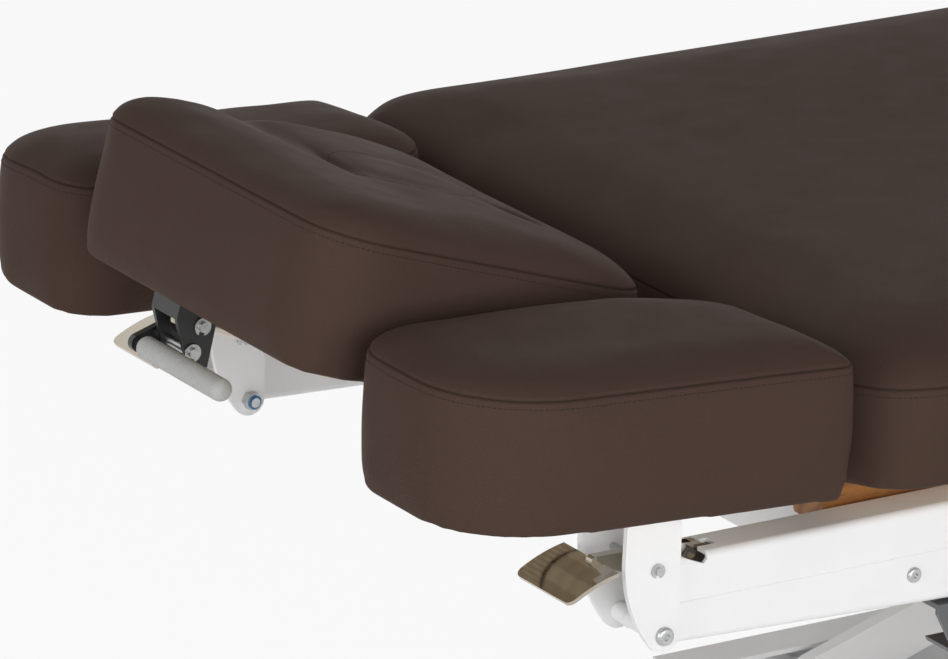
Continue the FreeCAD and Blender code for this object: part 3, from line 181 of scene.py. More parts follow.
print("white is", linear(255, 255, 255))

# %% [markdown]
# ## Shared effects
# Real surfaces are never one flat value. Five effects turn up on more than one finish of this
# table, so each is a node group that is built once: slow cloudiness, hide grain, worn edges that
# also carry a painted highlight, fine scratches and wood figure. They only put out numbers, and
# each material decides what the numbers do.

# %% Cloudiness


def make_cloudiness():
    """Slow noise, spread between a low and a high value."""
    inputs = {"Vector": None, "Scale": 8.0, "Low": 0.9, "High": 1.1}
    group, start, end = shader_group("cloudiness", inputs, ["Value"])
    noise = add(group, "ShaderNodeTexNoise", None, Vector=start.outputs["Vector"],
                Scale=start.outputs["Scale"], Detail=3.0, Roughness=0.55)
    spread = remap(group, noise.outputs["Fac"], 0.3, 0.7, start.outputs["Low"],
                   start.outputs["High"])
    group.links.new(spread, end.inputs["Value"])
    return group


cloudiness = make_cloudiness()
print("group", cloudiness.name, [s.name for s in cloudiness.interface.items_tree])

# %% Hide grain


def make_hide_grain():
    """Pebbles of pressed leatherette: rounded cells with creases between, a little uneven."""
    group, start, end = shader_group("hide_grain", {"Vector": None, "Scale": 700.0},
                                     ["Height", "Crease"])
    scale = start.outputs["Scale"]
    wander = add(group, "ShaderNodeTexNoise", None, Vector=start.outputs["Vector"],
                 Scale=math_node(group, "MULTIPLY", scale, 0.3), Detail=2.0)
    push = add(group, "ShaderNodeVectorMath", {"operation": "SCALE"}, in0=wander.outputs["Color"])
    push.inputs["Scale"].default_value = 0.0011
    moved = add(group, "ShaderNodeVectorMath", {"operation": "ADD"}, in0=start.outputs["Vector"],
                in1=push.outputs[0])
    cells = add(group, "ShaderNodeTexVoronoi", {"feature": "DISTANCE_TO_EDGE"},
                Vector=moved.outputs[0], Scale=scale)
    pebble = remap(group, cells.outputs["Distance"], 0.0, 0.32, 0.0, 1.0)
    pores = add(group, "ShaderNodeTexNoise", None, Vector=start.outputs["Vector"],
                Scale=math_node(group, "MULTIPLY", scale, 2.6), Detail=1.0)
    fine = math_node(group, "MULTIPLY", pores.outputs["Fac"], 0.35)
    group.links.new(math_node(group, "ADD", pebble, fine), end.inputs["Height"])
    group.links.new(math_node(group, "SUBTRACT", 1.0, pebble), end.inputs["Crease"])
    return group


hide_grain = make_hide_grain()
print("group", hide_grain.name)

# %% Worn edges and painted highlight


def make_edge_wear_and_highlight():
    """Mask of the outer edges for wear and painted highlight, broken up by noise: rounded normals
    differ from true ones there.
    """
    inputs = {"Vector": None, "Radius": 0.001, "Scale": 120.0}
    group, start, end = shader_group("edge_wear_and_highlight", inputs, ["Mask"])
    rounded = add(group, "ShaderNodeBevel", {"samples": 4}, Radius=start.outputs["Radius"])
    flat = add(group, "ShaderNodeNewGeometry")
    likeness = add(group, "ShaderNodeVectorMath", {"operation": "DOT_PRODUCT"},
                   in0=rounded.outputs["Normal"], in1=flat.outputs["Normal"])
    edge = remap(group, likeness.outputs["Value"], 0.98, 0.82, 0.0, 1.0)
    patches = add(group, "ShaderNodeTexNoise", None, Vector=start.outputs["Vector"],
                  Scale=start.outputs["Scale"], Detail=4.0)
    broken = remap(group, patches.outputs["Fac"], 0.35, 0.65, 0.2, 1.0)
    group.links.new(math_node(group, "MULTIPLY", edge, broken), end.inputs["Mask"])
    return group


edge_wear_and_highlight = make_edge_wear_and_highlight()
print("group", edge_wear_and_highlight.name)

# %% Fine scratches


def make_scratches():
    """Hairlines along one direction: noise stretched by a Mapping node."""
    group, start, end = shader_group("scratches", {"Vector": None, "Scale": 90.0},
                                     ["Line", "Rub"])
    stretch = add(group, "ShaderNodeMapping", None, Vector=start.outputs["Vector"])
    stretch.inputs["Rotation"].default_value = (0.3, 0.2, 0.5)
    stretch.inputs["Scale"].default_value = (0.05, 1.0, 1.0)
    lines = add(group, "ShaderNodeTexNoise", None, Vector=stretch.outputs[0],
                Scale=math_node(group, "MULTIPLY", start.outputs["Scale"], 14.0), Detail=2.0)
    rub = add(group, "ShaderNodeTexNoise", None, Vector=start.outputs["Vector"],
              Scale=start.outputs["Scale"], Detail=3.0)
    group.links.new(remap(group, lines.outputs["Fac"], 0.35, 0.65, 0.0, 1.0), end.inputs["Line"])
    group.links.new(rub.outputs["Fac"], end.inputs["Rub"])
    return group


scratches = make_scratches()
print("group", scratches.name)

# %% Wood figure


def make_wood_figure():
    """Growth rings seen along the plank, plus short dark pores; the plank runs along X."""
    group, start, end = shader_group("wood_figure", {"Vector": None, "Rings": 55.0},
                                     ["Ring", "Pore"])
    along = add(group, "ShaderNodeMapping", None, Vector=start.outputs["Vector"])
    along.inputs["Scale"].default_value = (0.06, 1.0, 1.0)
    waver = add(group, "ShaderNodeTexNoise", None, Vector=along.outputs[0], Scale=16.0, Detail=3.0)
    bent = add(group, "ShaderNodeVectorMath", {"operation": "MULTIPLY_ADD"},
               in0=waver.outputs["Color"], in1=(0.02, 0.02, 0.02), in2=along.outputs[0])
    rings = add(group, "ShaderNodeTexWave", {"wave_type": "BANDS", "bands_direction": "DIAGONAL"},
                Vector=bent.outputs[0], Scale=start.outputs["Rings"], Distortion=3.0, Detail=2.0)
    fleck = add(group, "ShaderNodeMapping", None, Vector=start.outputs["Vector"])
    fleck.inputs["Scale"].default_value = (0.08, 1.0, 1.0)
    pores = add(group, "ShaderNodeTexNoise", None, Vector=fleck.outputs[0], Scale=900.0,
                Detail=1.0)
    group.links.new(rings.outputs["Fac"], end.inputs["Ring"])
    group.links.new(remap(group, pores.outputs["Fac"], 0.62, 0.72, 0.0, 1.0), end.inputs["Pore"])
    return group


wood_figure = make_wood_figure()
print("group", wood_figure.name)

# %% [markdown]
# ## Leatherette
# The cover is a smooth brown leatherette with a fine pressed grain and hardly any shine. Real hide
# could be painted with a picture, but a procedural grain stays sharp at any distance and needs no
# unwrapping. The seams write a mask into the mesh, and the material paints shade into the fold
# there.

# %% Leatherette
LEATHER_LIGHT = linear(79, 62, 55)
LEATHER_DARK = linear(76, 60, 52)
# Crease colour, used for the grain's creases and for the painted shade in the seam fold.
LEATHER_CREASE = linear(42, 32, 28)
GRAIN_SHADE = 0.18
# Mesh mask that holds the painted shade in the seam fold.
SEAM_SHADE_MASK = "seam_painted_shade"


def new_material(name, **sockets):
    """Material with a Principled shader; constant sockets are set directly on it."""
    material = bpy.data.materials.new(name)
    material.use_nodes = True
    tree = material.node_tree
    shader = tree.nodes["Principled BSDF"]
    for key, value in sockets.items():
        shader.inputs[key.replace("_", " ")].default_value = value
    place = tree.nodes.new("ShaderNodeTexCoord").outputs["Object"]
    return material, tree, shader, place


def bump(tree, shader, height, distance, strength=1.0):
    made = add(tree, "ShaderNodeBump", None, Height=height, Distance=distance, Strength=strength)
    tree.links.new(made.outputs[0], shader.inputs["Normal"])


def make_leather():
    material, tree, shader, place = new_material("leatherette", Specular_IOR_Level=0.03)
    tone = use(tree, cloudiness, Vector=place, Scale=5.0, Low=0.0, High=1.0)
    grain = use(tree, hide_grain, Vector=place, Scale=800.0)
    hide = mix_colour(tree, tone.outputs["Value"], LEATHER_DARK, LEATHER_LIGHT)
    grooves = math_node(tree, "MULTIPLY", grain.outputs["Crease"], GRAIN_SHADE)
    creased = mix_colour(tree, grooves, hide, LEATHER_CREASE)
    # Painted shade along the seams: the fold mask blends the cover towards the crease colour.
    fold = add(tree, "ShaderNodeAttribute", {"attribute_name": SEAM_SHADE_MASK}).outputs["Fac"]
    tree.links.new(mix_colour(tree, fold, creased, LEATHER_CREASE), shader.inputs["Base Color"])
    rough = use(tree, cloudiness, Vector=place, Scale=30.0, Low=0.52, High=0.60)
    dull = math_node(tree, "MULTIPLY", fold, 0.2)
    tree.links.new(math_node(tree, "ADD", rough.outputs["Value"], dull), shader.inputs["Roughness"])
    bump(tree, shader, grain.outputs["Height"], 0.00012, 0.55)
    return material


leather = make_leather()
print("material", leather.name, "nodes", len(leather.node_tree.nodes))

# %% [markdown]
# ## Sewing thread
# The stitches are of twisted polyester thread, a shade darker than the cover. Each twist could be
# modelled as strands, but a stitch is three millimetres long, so a slanting wave in colour and bump
# is enough to read as thread.

# %% Sewing thread


def make_thread():
    material, tree, shader, place = new_material("sewing_thread", Roughness=0.7,
                                                 Specular_IOR_Level=0.2)
    twist = add(tree, "ShaderNodeTexWave", {"bands_direction": "DIAGONAL"}, Vector=place,
                Scale=900.0)
    colour = mix_colour(tree, twist.outputs["Fac"], linear(44, 34, 31), linear(66, 53, 48))
    tree.links.new(colour, shader.inputs["Base Color"])
    bump(tree, shader, twist.outputs["Fac"], 0.0001)
    return material


thread = make_thread()
print("material", thread.name)

# %% [markdown]
# ## Powder coat
# The beams, brackets and lift are steel with a baked powder coat, which has a faint orange-peel
# skin and pales or darkens on worn edges; the paler edges of the grey and black coats are also a
# painted highlight. Modelling that skin would take millions of faces, so a fine noise drives the
# bump instead, and the edge mask blends in the worn colour. All the finishes are kept by slot
# name, so that the rigid pieces can take them from the record later.

# %% Powder coat


def make_powder_coat(name, colour, worn, roughness, wear_and_highlight):
    material, tree, shader, place = new_material(name)
    tone = use(tree, cloudiness, Vector=place, Scale=9.0, Low=0.0, High=1.0)
    base = mix_colour(tree, tone.outputs["Value"], darker(colour, 0.96), colour)
    # Edge mask: darker wear on the white coat; on the grey and black coats the paler edge is wear
    # and painted highlight.
    edge = use(tree, edge_wear_and_highlight, Vector=place, Radius=0.0012, Scale=150.0)
    share = math_node(tree, "MULTIPLY", edge.outputs["Mask"], wear_and_highlight)
    tree.links.new(mix_colour(tree, share, base, worn), shader.inputs["Base Color"])
    rough = use(tree, cloudiness, Vector=place, Scale=60.0, Low=roughness - 0.04,
                High=roughness + 0.05)
    tree.links.new(rough.outputs["Value"], shader.inputs["Roughness"])
    peel = add(tree, "ShaderNodeTexNoise", None, Vector=place, Scale=650.0, Detail=1.0)
    bump(tree, shader, peel.outputs["Fac"], 0.00006, 0.6)
    return material


finishes = {
    "leather": leather,
    "white_paint": make_powder_coat("white_powder_coat", linear(247, 247, 248),
                                    worn=linear(224, 224, 222), roughness=0.34, wear_and_highlight=0.3),
    # The worn colours of the grey and black coats are paler: wear and painted highlight together.
    "grey_paint": make_powder_coat("grey_powder_coat", linear(96, 97, 98),
                                   worn=linear(150, 150, 150), roughness=0.42, wear_and_highlight=0.5),
    "black_paint": make_powder_coat("black_powder_coat", linear(34, 34, 35),
                                    worn=linear(92, 92, 92), roughness=0.36, wear_and_highlight=0.5),
}
print("paints", list(finishes))

# %% [markdown]
# ## Zinc plate and polished steel
# Bolts and pins are zinc plated, a soft grey metal; the armrest paddles and the sliding rods are
# polished like a mirror, with hairline scratches that only show in a highlight. Their warm beige
# colour is a painted reflection of the wood around them. A mirror with one roughness looks
# computed, so both metals share a recipe in which scratches vary the roughness.

# %% Zinc plate and polished steel


def make_metal(name, colour, rubbed, roughness, spread, scale, depth):
    material, tree, shader, place = new_material(name, Metallic=1.0)
    marks = use(tree, scratches, Vector=place, Scale=scale)
    colour_node = mix_colour(tree, marks.outputs["Rub"], colour, rubbed)
    tree.links.new(colour_node, shader.inputs["Base Color"])
    worn = remap(tree, marks.outputs["Line"], 0.0, 1.0, roughness, roughness + spread)
    tree.links.new(worn, shader.inputs["Roughness"])
    bump(tree, shader, marks.outputs["Line"], depth, 0.5)
    return material


finishes["steel"] = make_metal("zinc_plate", linear(206, 206, 204), rubbed=linear(168, 170, 172),
                               roughness=0.26, spread=0.16, scale=160.0, depth=0.00003)
# The beige colours of the polished steel are a painted reflection of the nearby wood.
finishes["polished"] = make_metal("polished_steel", linear(188, 180, 166),
                                  rubbed=linear(176, 168, 154), roughness=0.05, spread=0.05,
                                  scale=60.0, depth=0.000004)
print("metals", finishes["steel"].name, finishes["polished"].name)

# %% [markdown]
# ## Wood
# The rails under the long pad are oiled wood and the pads sit on plywood boards. A picture of wood
# would have to be laid on every face, but a solid texture runs through the piece as real growth
# rings do, so the end of a rail agrees with its sides. Plywood adds thin layers, seen at its edge.

# %% Wood


def make_beech():
    material, tree, shader, place = new_material("oiled_wood", Specular_IOR_Level=0.35)
    figure = use(tree, wood_figure, Vector=place, Rings=40.0)
    base = mix_colour(tree, figure.outputs["Ring"], linear(166, 112, 60), linear(142, 92, 47))
    pores = math_node(tree, "MULTIPLY", figure.outputs["Pore"], 0.6)
    pored = mix_colour(tree, pores, base, linear(78, 48, 25))
    tree.links.new(pored, shader.inputs["Base Color"])
    rough = remap(tree, figure.outputs["Ring"], 0.0, 1.0, 0.42, 0.55)
    tree.links.new(rough, shader.inputs["Roughness"])
    bump(tree, shader, figure.outputs["Pore"], -0.0001, 0.5)
    return material


def make_plywood():
    """Face veneer with figure; the cut edges show thin layers that change direction."""
    material, tree, shader, place = new_material("plywood", Specular_IOR_Level=0.3, Roughness=0.62)
    figure = use(tree, wood_figure, Vector=place, Rings=30.0)
    layers = add(tree, "ShaderNodeTexWave", {"bands_direction": "Z", "wave_profile": "TRI"},
                 Vector=place, Scale=105.0, Distortion=0.6, Detail=2.0)
    ply = remap(tree, layers.outputs["Fac"], 0.42, 0.58, 0.0, 1.0)
    base = mix_colour(tree, figure.outputs["Ring"], linear(222, 208, 186), linear(206, 190, 164))
    stripes = math_node(tree, "MULTIPLY", ply, 0.45)
    striped = mix_colour(tree, stripes, base, linear(160, 136, 106))
    tree.links.new(striped, shader.inputs["Base Color"])
    bump(tree, shader, figure.outputs["Pore"], -0.0001, 0.5)
    return material


finishes["beech"] = make_beech()
finishes["plywood"] = make_plywood()
print("woods", finishes["beech"].name, finishes["plywood"].name)

# %% [markdown]
# ## Plastics and rubber
# The grip of the lever is grey foam, the drive, control box and rollers are black mouldings, and
# the levelling feet are rubber. They differ in colour, grain and shine only, so one recipe with a
# few numbers serves them all: a speckle, paler edges that are dust and painted highlight, and a
# fine grain in the bump.

# %% Plastics and rubber


def make_moulded(name, colour, dust_and_highlight, roughness, grain_scale, depth):
    """Moulded plastic, foam or rubber: speckle, paler edges of dust and painted highlight, fine
    grain.
    """
    material, tree, shader, place = new_material(name, Specular_IOR_Level=0.35)
    speckle = use(tree, cloudiness, Vector=place, Scale=420.0, Low=0.0, High=1.0)
    base = mix_colour(tree, speckle.outputs["Value"], darker(colour, 0.86), colour)
    # Paler edges: a little dust, and a painted highlight where the edges catch light.
    edge = use(tree, edge_wear_and_highlight, Vector=place, Radius=0.0012, Scale=90.0)
    share = math_node(tree, "MULTIPLY", edge.outputs["Mask"], 0.35)
    tree.links.new(mix_colour(tree, share, base, dust_and_highlight), shader.inputs["Base Color"])
    rough = use(tree, cloudiness, Vector=place, Scale=40.0, Low=roughness - 0.06,
                High=roughness + 0.06)
    tree.links.new(rough.outputs["Value"], shader.inputs["Roughness"])
    grain = add(tree, "ShaderNodeTexNoise", None, Vector=place, Scale=grain_scale, Detail=2.0)
    bump(tree, shader, grain.outputs["Fac"], depth, 0.7)
    return material


finishes["grey_plastic"] = make_moulded("foam_grip", linear(192, 192, 190),
                                        dust_and_highlight=linear(200, 200, 198), roughness=0.72,
                                        grain_scale=1100.0, depth=0.00025)
finishes["black_plastic"] = make_moulded("black_moulding", linear(38, 38, 39),
                                         dust_and_highlight=linear(70, 70, 70), roughness=0.5,
                                         grain_scale=1400.0, depth=0.00008)
finishes["rubber"] = make_moulded("rubber", linear(42, 42, 42), dust_and_highlight=linear(96, 94, 90),
                                  roughness=0.8, grain_scale=700.0, depth=0.0001)
lock_ring_blue = make_moulded("nylon_ring", linear(66, 118, 170), dust_and_highlight=linear(120, 160, 200),
                              roughness=0.45, grain_scale=900.0, depth=0.00003)
print("finishes", sorted(finishes))

# %% [markdown]
# ## Dress the rigid pieces
# The metal, wood and plastic pieces keep the shapes of the frame. Each could be given its material
# by hand, but the record already names a slot for every piece, so one loop dresses them all.

# %% Dress the rigid pieces
for row in frame["record"]["subparts"]:
    for slot in nodes[row["node"]].material_slots:
        slot.material = finishes[row["material_slot"]]

# %% [markdown]
# ## Lock nuts
# The nuts on the armrest bolts are the kind with a blue nylon ring in the end, which grips the
# thread. A torus would do from afar, but the real ring has a flat back and a rounded lip, so a
# small closed outline is spun once round the bolt's axis. The nut's end sits a known way before
# the end of the bolt.

# %% Nylon rings
NUT_END = 0.002
RING_OUTLINE = ((0.0043, -0.0004), (0.0056, -0.0004), (0.0059, 0.0006), (0.0052, 0.0011),
                (0.0043, 0.0009))
RING_STEPS = 32


def new_object(name, bm):
    """Object from a bmesh, which is used up."""
    mesh = bpy.data.meshes.new(name)
    bm.to_mesh(mesh)
    bm.free()
    obj = bpy.data.objects.new(name, mesh)
    bpy.context.scene.collection.objects.link(obj)
    return obj


def nylon_ring(side, out):
    """Ring on the inner end of one bolt's nut; out is the way the nut faces."""
    bolt = centre_of("pivot_bolt_" + side)
    low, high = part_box("pivot_bolt_" + side)
    bolt.y = (low.y + NUT_END) if out < 0 else (high.y - NUT_END)
    bm = bmesh.new()
    corners = [bm.verts.new(bolt + Vector((reach, out * rise, 0))) for reach, rise in RING_OUTLINE]
    edges = [bm.edges.new((a, b)) for a, b in zip(corners, corners[1:] + corners[:1])]
    bmesh.ops.spin(bm, geom=corners + edges, cent=bolt, axis=(0, 1, 0), angle=2 * math.pi,
                   steps=RING_STEPS, use_merge=True)
    bmesh.ops.recalc_face_normals(bm, faces=bm.faces)
    ring = new_object("nylon_ring_" + side, bm)
    ring.data.materials.append(lock_ring_blue)
    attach(ring, "frame")
    return ring


rings = [nylon_ring("left", -1), nylon_ring("right", 1)]
print("rings", [ring.name for ring in rings])

# %% [markdown]
# ## Upholstery
# Each pad is foam on a board under a tight cover that is pulled round and stapled below. Modelling
# the swelling by hand would look stiff, so the plain solids of the frame are joined, made into even
# quads by a voxel remesh, drawn in a little, and then blown up by a cloth simulation with the
# underside held. The cap on how far a point may travel keeps it in its place, and the travel is
# evened out over the surface, because a taut cover has no lumps. Three of the pads are tilted, so
# each one has its own level coordinates: u along the table, y across and v up.

# %% Level coordinates of a pad
HEAD_TILT = math.radians(14.0)
ARMREST_TILT = math.radians(3.5)


class Level:
    """Tilted coordinates about a point: u towards the foot end, y to the left, v up."""

    def __init__(self, origin, tilt):
        self.origin = np.array(origin, float)
        self.axes = np.array([(math.cos(tilt), 0, -math.sin(tilt)), (0, 1, 0),
                              (math.sin(tilt), 0, math.cos(tilt))])

    def inside(self, points):
        """Points of the scene, in level coordinates."""
        return (points - self.origin) @ self.axes.T

    def outside(self, local):
        """Level coordinates, as points of the scene."""
        return local @ self.axes + self.origin

    def matrix(self):
        made = Matrix(self.axes.T.tolist()).to_4x4()
        made.translation = Vector(self.origin)
        return made


def pin_point(node):
    spot = centre_of(node)
    return (spot.x, 0.0, spot.z)


body_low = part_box("body_cushion")[0]
head_level = Level(pin_point("hinge_pin"), HEAD_TILT)
arm_level = Level(pin_point("pivot_bolt_right"), ARMREST_TILT)
body_level = Level((body_low.x, 0.0, body_low.z), 0.0)
print("hinge at", np.round(head_level.origin, 4), "bolt at", np.round(arm_level.origin, 4))

# %% Read and write points


def points_of(mesh, what="co"):
    """Places of a mesh's points, or their normals, one row each."""
    flat = np.empty(len(mesh.vertices) * 3, np.float32)
    mesh.vertices.foreach_get(what, flat)
    return flat.reshape(-1, 3).astype(float)


def put_points(mesh, points):
    mesh.vertices.foreach_set("co", points.astype(np.float32).ravel())
    mesh.update()


def even_out(mesh, values, rounds):
    """Average each point's value with its neighbours', over and over."""
    pairs = np.empty(len(mesh.edges) * 2, np.int32)
    mesh.edges.foreach_get("vertices", pairs)
    one, two = pairs.reshape(-1, 2).T
    count = len(values)
    degree = np.bincount(pairs, minlength=count)
    for _ in range(rounds):
        for k in range(values.shape[1]):
            column = values[:, k]
            total = (np.bincount(one, column[two], count) + np.bincount(two, column[one], count))
            values[:, k] = 0.5 * column + 0.5 * total / degree
    return values


def level_box(level, sources):
    """Lowest and highest corner of some solids, in level coordinates."""
    local = level.inside(np.vstack([points_of(nodes[node].data) for node in sources]))
    return local.min(0), local.max(0)


print("headrest box", np.round(level_box(head_level, ["headrest_cushion"]), 3).tolist())

# %% Join, remesh and bake
WELD = 0.00002


def bake(obj):
    """Replace the mesh by what its modifiers make of it."""
    graph = bpy.context.evaluated_depsgraph_get()
    made = bpy.data.meshes.new_from_object(obj.evaluated_get(graph))
    obj.modifiers.clear()
    obj.data = made


def pad_skin(sources, name, voxel):
    """Even quads over the outside of some solids of the frame."""
    bm = bmesh.new()
    for node in sources:
        bm.from_mesh(nodes[node].data)
    bmesh.ops.remove_doubles(bm, verts=bm.verts, dist=WELD)
    obj = new_object(name, bm)
    remesh = obj.modifiers.new("even_quads", "REMESH")
    remesh.mode = "VOXEL"
    remesh.voxel_size = voxel
    bake(obj)
    return obj


print("corners closer than", WELD, "are welded before the remesh")

# %% Blow up a pad
SWELL_FRAMES = 20
SWELL_PRESSURE = 4.0


def draw_in(obj, amount, held):
    """Pull the free points inwards, so that the swelling has room."""
    points = points_of(obj.data)
    points -= points_of(obj.data, "normal") * amount * (1 - held)[:, None]
    put_points(obj.data, points)


def swell(obj, held, cap, rounds):
    """Cloth with air pressure, no gravity, and the held points pinned."""
    start = points_of(obj.data)
    group = obj.vertex_groups.new(name="held")
    group.add(np.nonzero(held > 0.5)[0].tolist(), 1.0, "REPLACE")
    cloth = obj.modifiers.new("cover", "CLOTH")
    cloth.settings.quality = 3
    cloth.settings.mass = 0.3
    cloth.settings.tension_stiffness = 18.0
    cloth.settings.compression_stiffness = 18.0
    cloth.settings.shear_stiffness = 8.0
    cloth.settings.bending_stiffness = 3.0
    cloth.settings.use_pressure = True
    cloth.settings.uniform_pressure_force = SWELL_PRESSURE
    cloth.settings.vertex_group_mass = "held"
    cloth.settings.effector_weights.gravity = 0.0
    cloth.collision_settings.use_collision = False
    scene = bpy.context.scene
    for step in range(1, SWELL_FRAMES + 1):
        scene.frame_set(step)
    bake(obj)
    scene.frame_set(1)
    obj.vertex_groups.clear()
    move = points_of(obj.data) - start
    far = np.linalg.norm(move, axis=1)
    move *= np.minimum(1.0, cap / np.maximum(far, 1e-9))[:, None]
    put_points(obj.data, start + even_out(obj.data, move, rounds) * (1 - held)[:, None])
    print(obj.name, "points", len(far), "moved", round(float(far.max()) * 1000, 1), "mm, cap",
          cap * 1000)


print("swelling takes", SWELL_FRAMES, "frames")

# %% Relax, refit and refine


def relax(obj, rounds, held):
    """Smooth the free points."""
    points = points_of(obj.data)
    smooth = even_out(obj.data, points.copy(), rounds)
    put_points(obj.data, smooth + (points - smooth) * held[:, None])


def refit(obj, level, box):
    """Stretch the pad in level coordinates until it fills the box."""
    local = level.inside(points_of(obj.data))
    low, high = local.min(0), local.max(0)
    local = box[0] + (local - low) * (box[1] - box[0]) / (high - low)
    put_points(obj.data, level.outside(local))


def subdivide(obj):
    """Four quads for each one, on a smooth surface."""
    smooth = obj.modifiers.new("finer", "SUBSURF")
    smooth.levels = 1
    smooth.render_levels = 1
    bake(obj)


BOARD_SHOWS = 0.0003
HELD_HEIGHT = 0.006
SLACK = 0.001


def upholster(sources, name, level, voxel, cap, rounds, fullness):
    """Whole recipe for one pad, up to the seams; the bare board shows a little below the cover."""
    box = level_box(level, sources)
    obj = pad_skin(sources, name, voxel)
    held = (level.inside(points_of(obj.data))[:, 2] < box[0][2] + HELD_HEIGHT).astype(float)
    draw_in(obj, SLACK, held)
    swell(obj, held, cap, rounds)
    relax(obj, rounds, held)
    subdivide(obj)
    box[0][2] += BOARD_SHOWS
    box[0][:2] -= fullness
    box[1][:2] += fullness
    refit(obj, level, box)
    return obj


print("board below cover", BOARD_SHOWS)

# %% [markdown]
# ## Seams and stitches
# A seam joins the top panel to the side band all round. A groove painted in a bump map would
# vanish in the silhouette, so the mesh itself is cut: bisect_plane slices edge loops at the seam
# and beside it, the middle loop is pressed in, and the loops beside it puff up as folded cover
# does. The lowest loop carries a row of stitches, which are tiny stretched balls laid along it.

# %% Cut a seam
SEAM_LOOPS = (-0.0040, -0.0020, -0.0008, 0.0, 0.0008, 0.0020, 0.0040)
STITCH_DROP = 0.0058
FOLD_DEPTH = 0.0009
FOLD_HALF = 0.0007
# Strength of the painted shade in the seam fold.
FOLD_SHADE = 0.7
PUFF = 0.0004
PUFF_AT = 0.0024
PUFF_HALF = 0.0016
CUT_SNAP = 0.0001
ROW_HALF = 0.0003


def seam_plane(level, point, lean):
    """A plane in level coordinates, as a point and normal of the scene."""
    normal = level.axes.T @ np.array((math.sin(lean), 0.0, math.cos(lean)))
    return level.outside(np.array(point)), normal


def sew(obj, plane, keep):
    """Cut loops at the seam, press the fold in, paint shade into it with a mask, and return the
    path of the stitch row.
    """
    origin, normal = plane
    bm = bmesh.new()
    bm.from_mesh(obj.data)
    for offset in SEAM_LOOPS + (-STITCH_DROP,):
        parts = bm.verts[:] + bm.edges[:] + bm.faces[:]
        bmesh.ops.bisect_plane(bm, geom=parts, dist=CUT_SNAP, plane_co=origin + normal * offset,
                               plane_no=normal)
    bm.normal_update()
    bm.to_mesh(obj.data)
    bm.free()
    points = points_of(obj.data)
    out = points_of(obj.data, "normal")
    height = (points - origin) @ normal
    outer = keep(points)
    row = outer & (np.abs(height + STITCH_DROP) < ROW_HALF)
    path = points[row]
    fold = np.exp(-(height / FOLD_HALF) ** 2) * outer
    puffs = np.exp(-((np.abs(height) - PUFF_AT) / PUFF_HALF) ** 2) * outer
    put_points(obj.data, points + out * (PUFF * puffs - FOLD_DEPTH * fold)[:, None])
    # Painted shade: this mask darkens the cover along the fold.
    shade_mask = obj.data.attributes.new(SEAM_SHADE_MASK, "FLOAT", "POINT")
    shade_mask.data.foreach_set("value", FOLD_SHADE * np.clip(fold, 0, 1).astype(np.float32))
    return path, out[row]


print("loops cut for a seam", len(SEAM_LOOPS), "and one for the stitches")

# %% Lay stitches along a row
STITCH_PITCH = 0.0040
STITCH_LENGTH = 0.0030
STITCH_R = 0.00042
STITCH_LIFT = 0.25


def in_order(points, out, level):
    """Row points sorted round the pad, then spaced evenly."""
    local = level.inside(points)
    middle = (local.max(0) + local.min(0)) / 2
    turn = np.argsort(np.arctan2(local[:, 1] - middle[1], local[:, 0] - middle[0]))
    ring = np.vstack([points[turn], points[turn[:1]]])
    facing = np.vstack([out[turn], out[turn[:1]]])
    reach = np.concatenate([[0], np.cumsum(np.linalg.norm(np.diff(ring, axis=0), axis=1))])
    count = int(reach[-1] / STITCH_PITCH)
    spots = np.arange(count) * reach[-1] / count
    even = np.column_stack([np.interp(spots, reach, ring[:, k]) for k in range(3)])
    normal = np.column_stack([np.interp(spots, reach, facing[:, k]) for k in range(3)])
    return even, normal / np.linalg.norm(normal, axis=1)[:, None]


def stitch_row(name, path, out, level):
    """One small ball is copied along the row, and the copies are stretched and turned together."""
    spots, facing = in_order(path, out, level)
    ahead = np.roll(spots, -1, 0) - np.roll(spots, 1, 0)
    along = ahead / np.linalg.norm(ahead, axis=1)[:, None]
    side = np.cross(facing, along)
    side /= np.linalg.norm(side, axis=1)[:, None]
    up = np.cross(along, side)
    ball = bmesh.new()
    bmesh.ops.create_uvsphere(ball, u_segments=6, v_segments=4, radius=1.0)
    single = bpy.data.meshes.new("stitch")
    ball.to_mesh(single)
    ball.free()
    bm = bmesh.new()
    for _ in spots:
        bm.from_mesh(single)
    obj = new_object(name, bm)
    unit = points_of(single)[None, :, :, None]
    middles = spots + up * STITCH_R * STITCH_LIFT
    spread = (unit[:, :, 0] * along[:, None] * STITCH_LENGTH / 2
              + unit[:, :, 1] * side[:, None] * STITCH_R
              + unit[:, :, 2] * up[:, None] * STITCH_R + middles[:, None])
    put_points(obj.data, spread.reshape(-1, 3))
    obj.data.materials.append(thread)
    print(name, "stitches", len(spots))
    return obj


def finish_pad(obj, body, covered):
    """Smooth shading, cover, and its place in the frame."""
    obj.data.materials.clear()
    obj.data.materials.append(leather)
    obj.data.shade_smooth()
    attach(obj, body)
    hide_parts(*covered)


print("stitch pitch", STITCH_PITCH)

# %% [markdown]
# ## The two armrests
# The armrests are narrow pads beside the headrest. Their solids are mirror images, so one is
# upholstered and the other is its reflection; a mirrored mesh is inside out, so its faces are
# turned round again. Foam never settles twice alike, though: the left pad's top falls away along
# its outer edge, and the right pad's rises midway and falls at the foot end of its inner edge.
# Smooth ramps and bells do that in one step for the pad and its stitches, which keeps the row on
# the cover.

# %% Shapes of a settled pad
ARMREST_SEAM = 0.208
SAG = 0.010
SAG_ALL_ALONG = {"right": 0.0, "left": 0.9}
SAG_ACROSS_FROM = 0.35
SAG_FOOT_FROM = 0.6
SAG_ABOVE = 0.03
RISE_MIDWAY = {"right": 0.7, "left": 0.0}
RISE_AT = 0.5
RISE_HALF = 0.28


def bell(value, middle, half):
    """1 at the middle, fading on both sides."""
    return np.exp(-((value - middle) / half) ** 2)


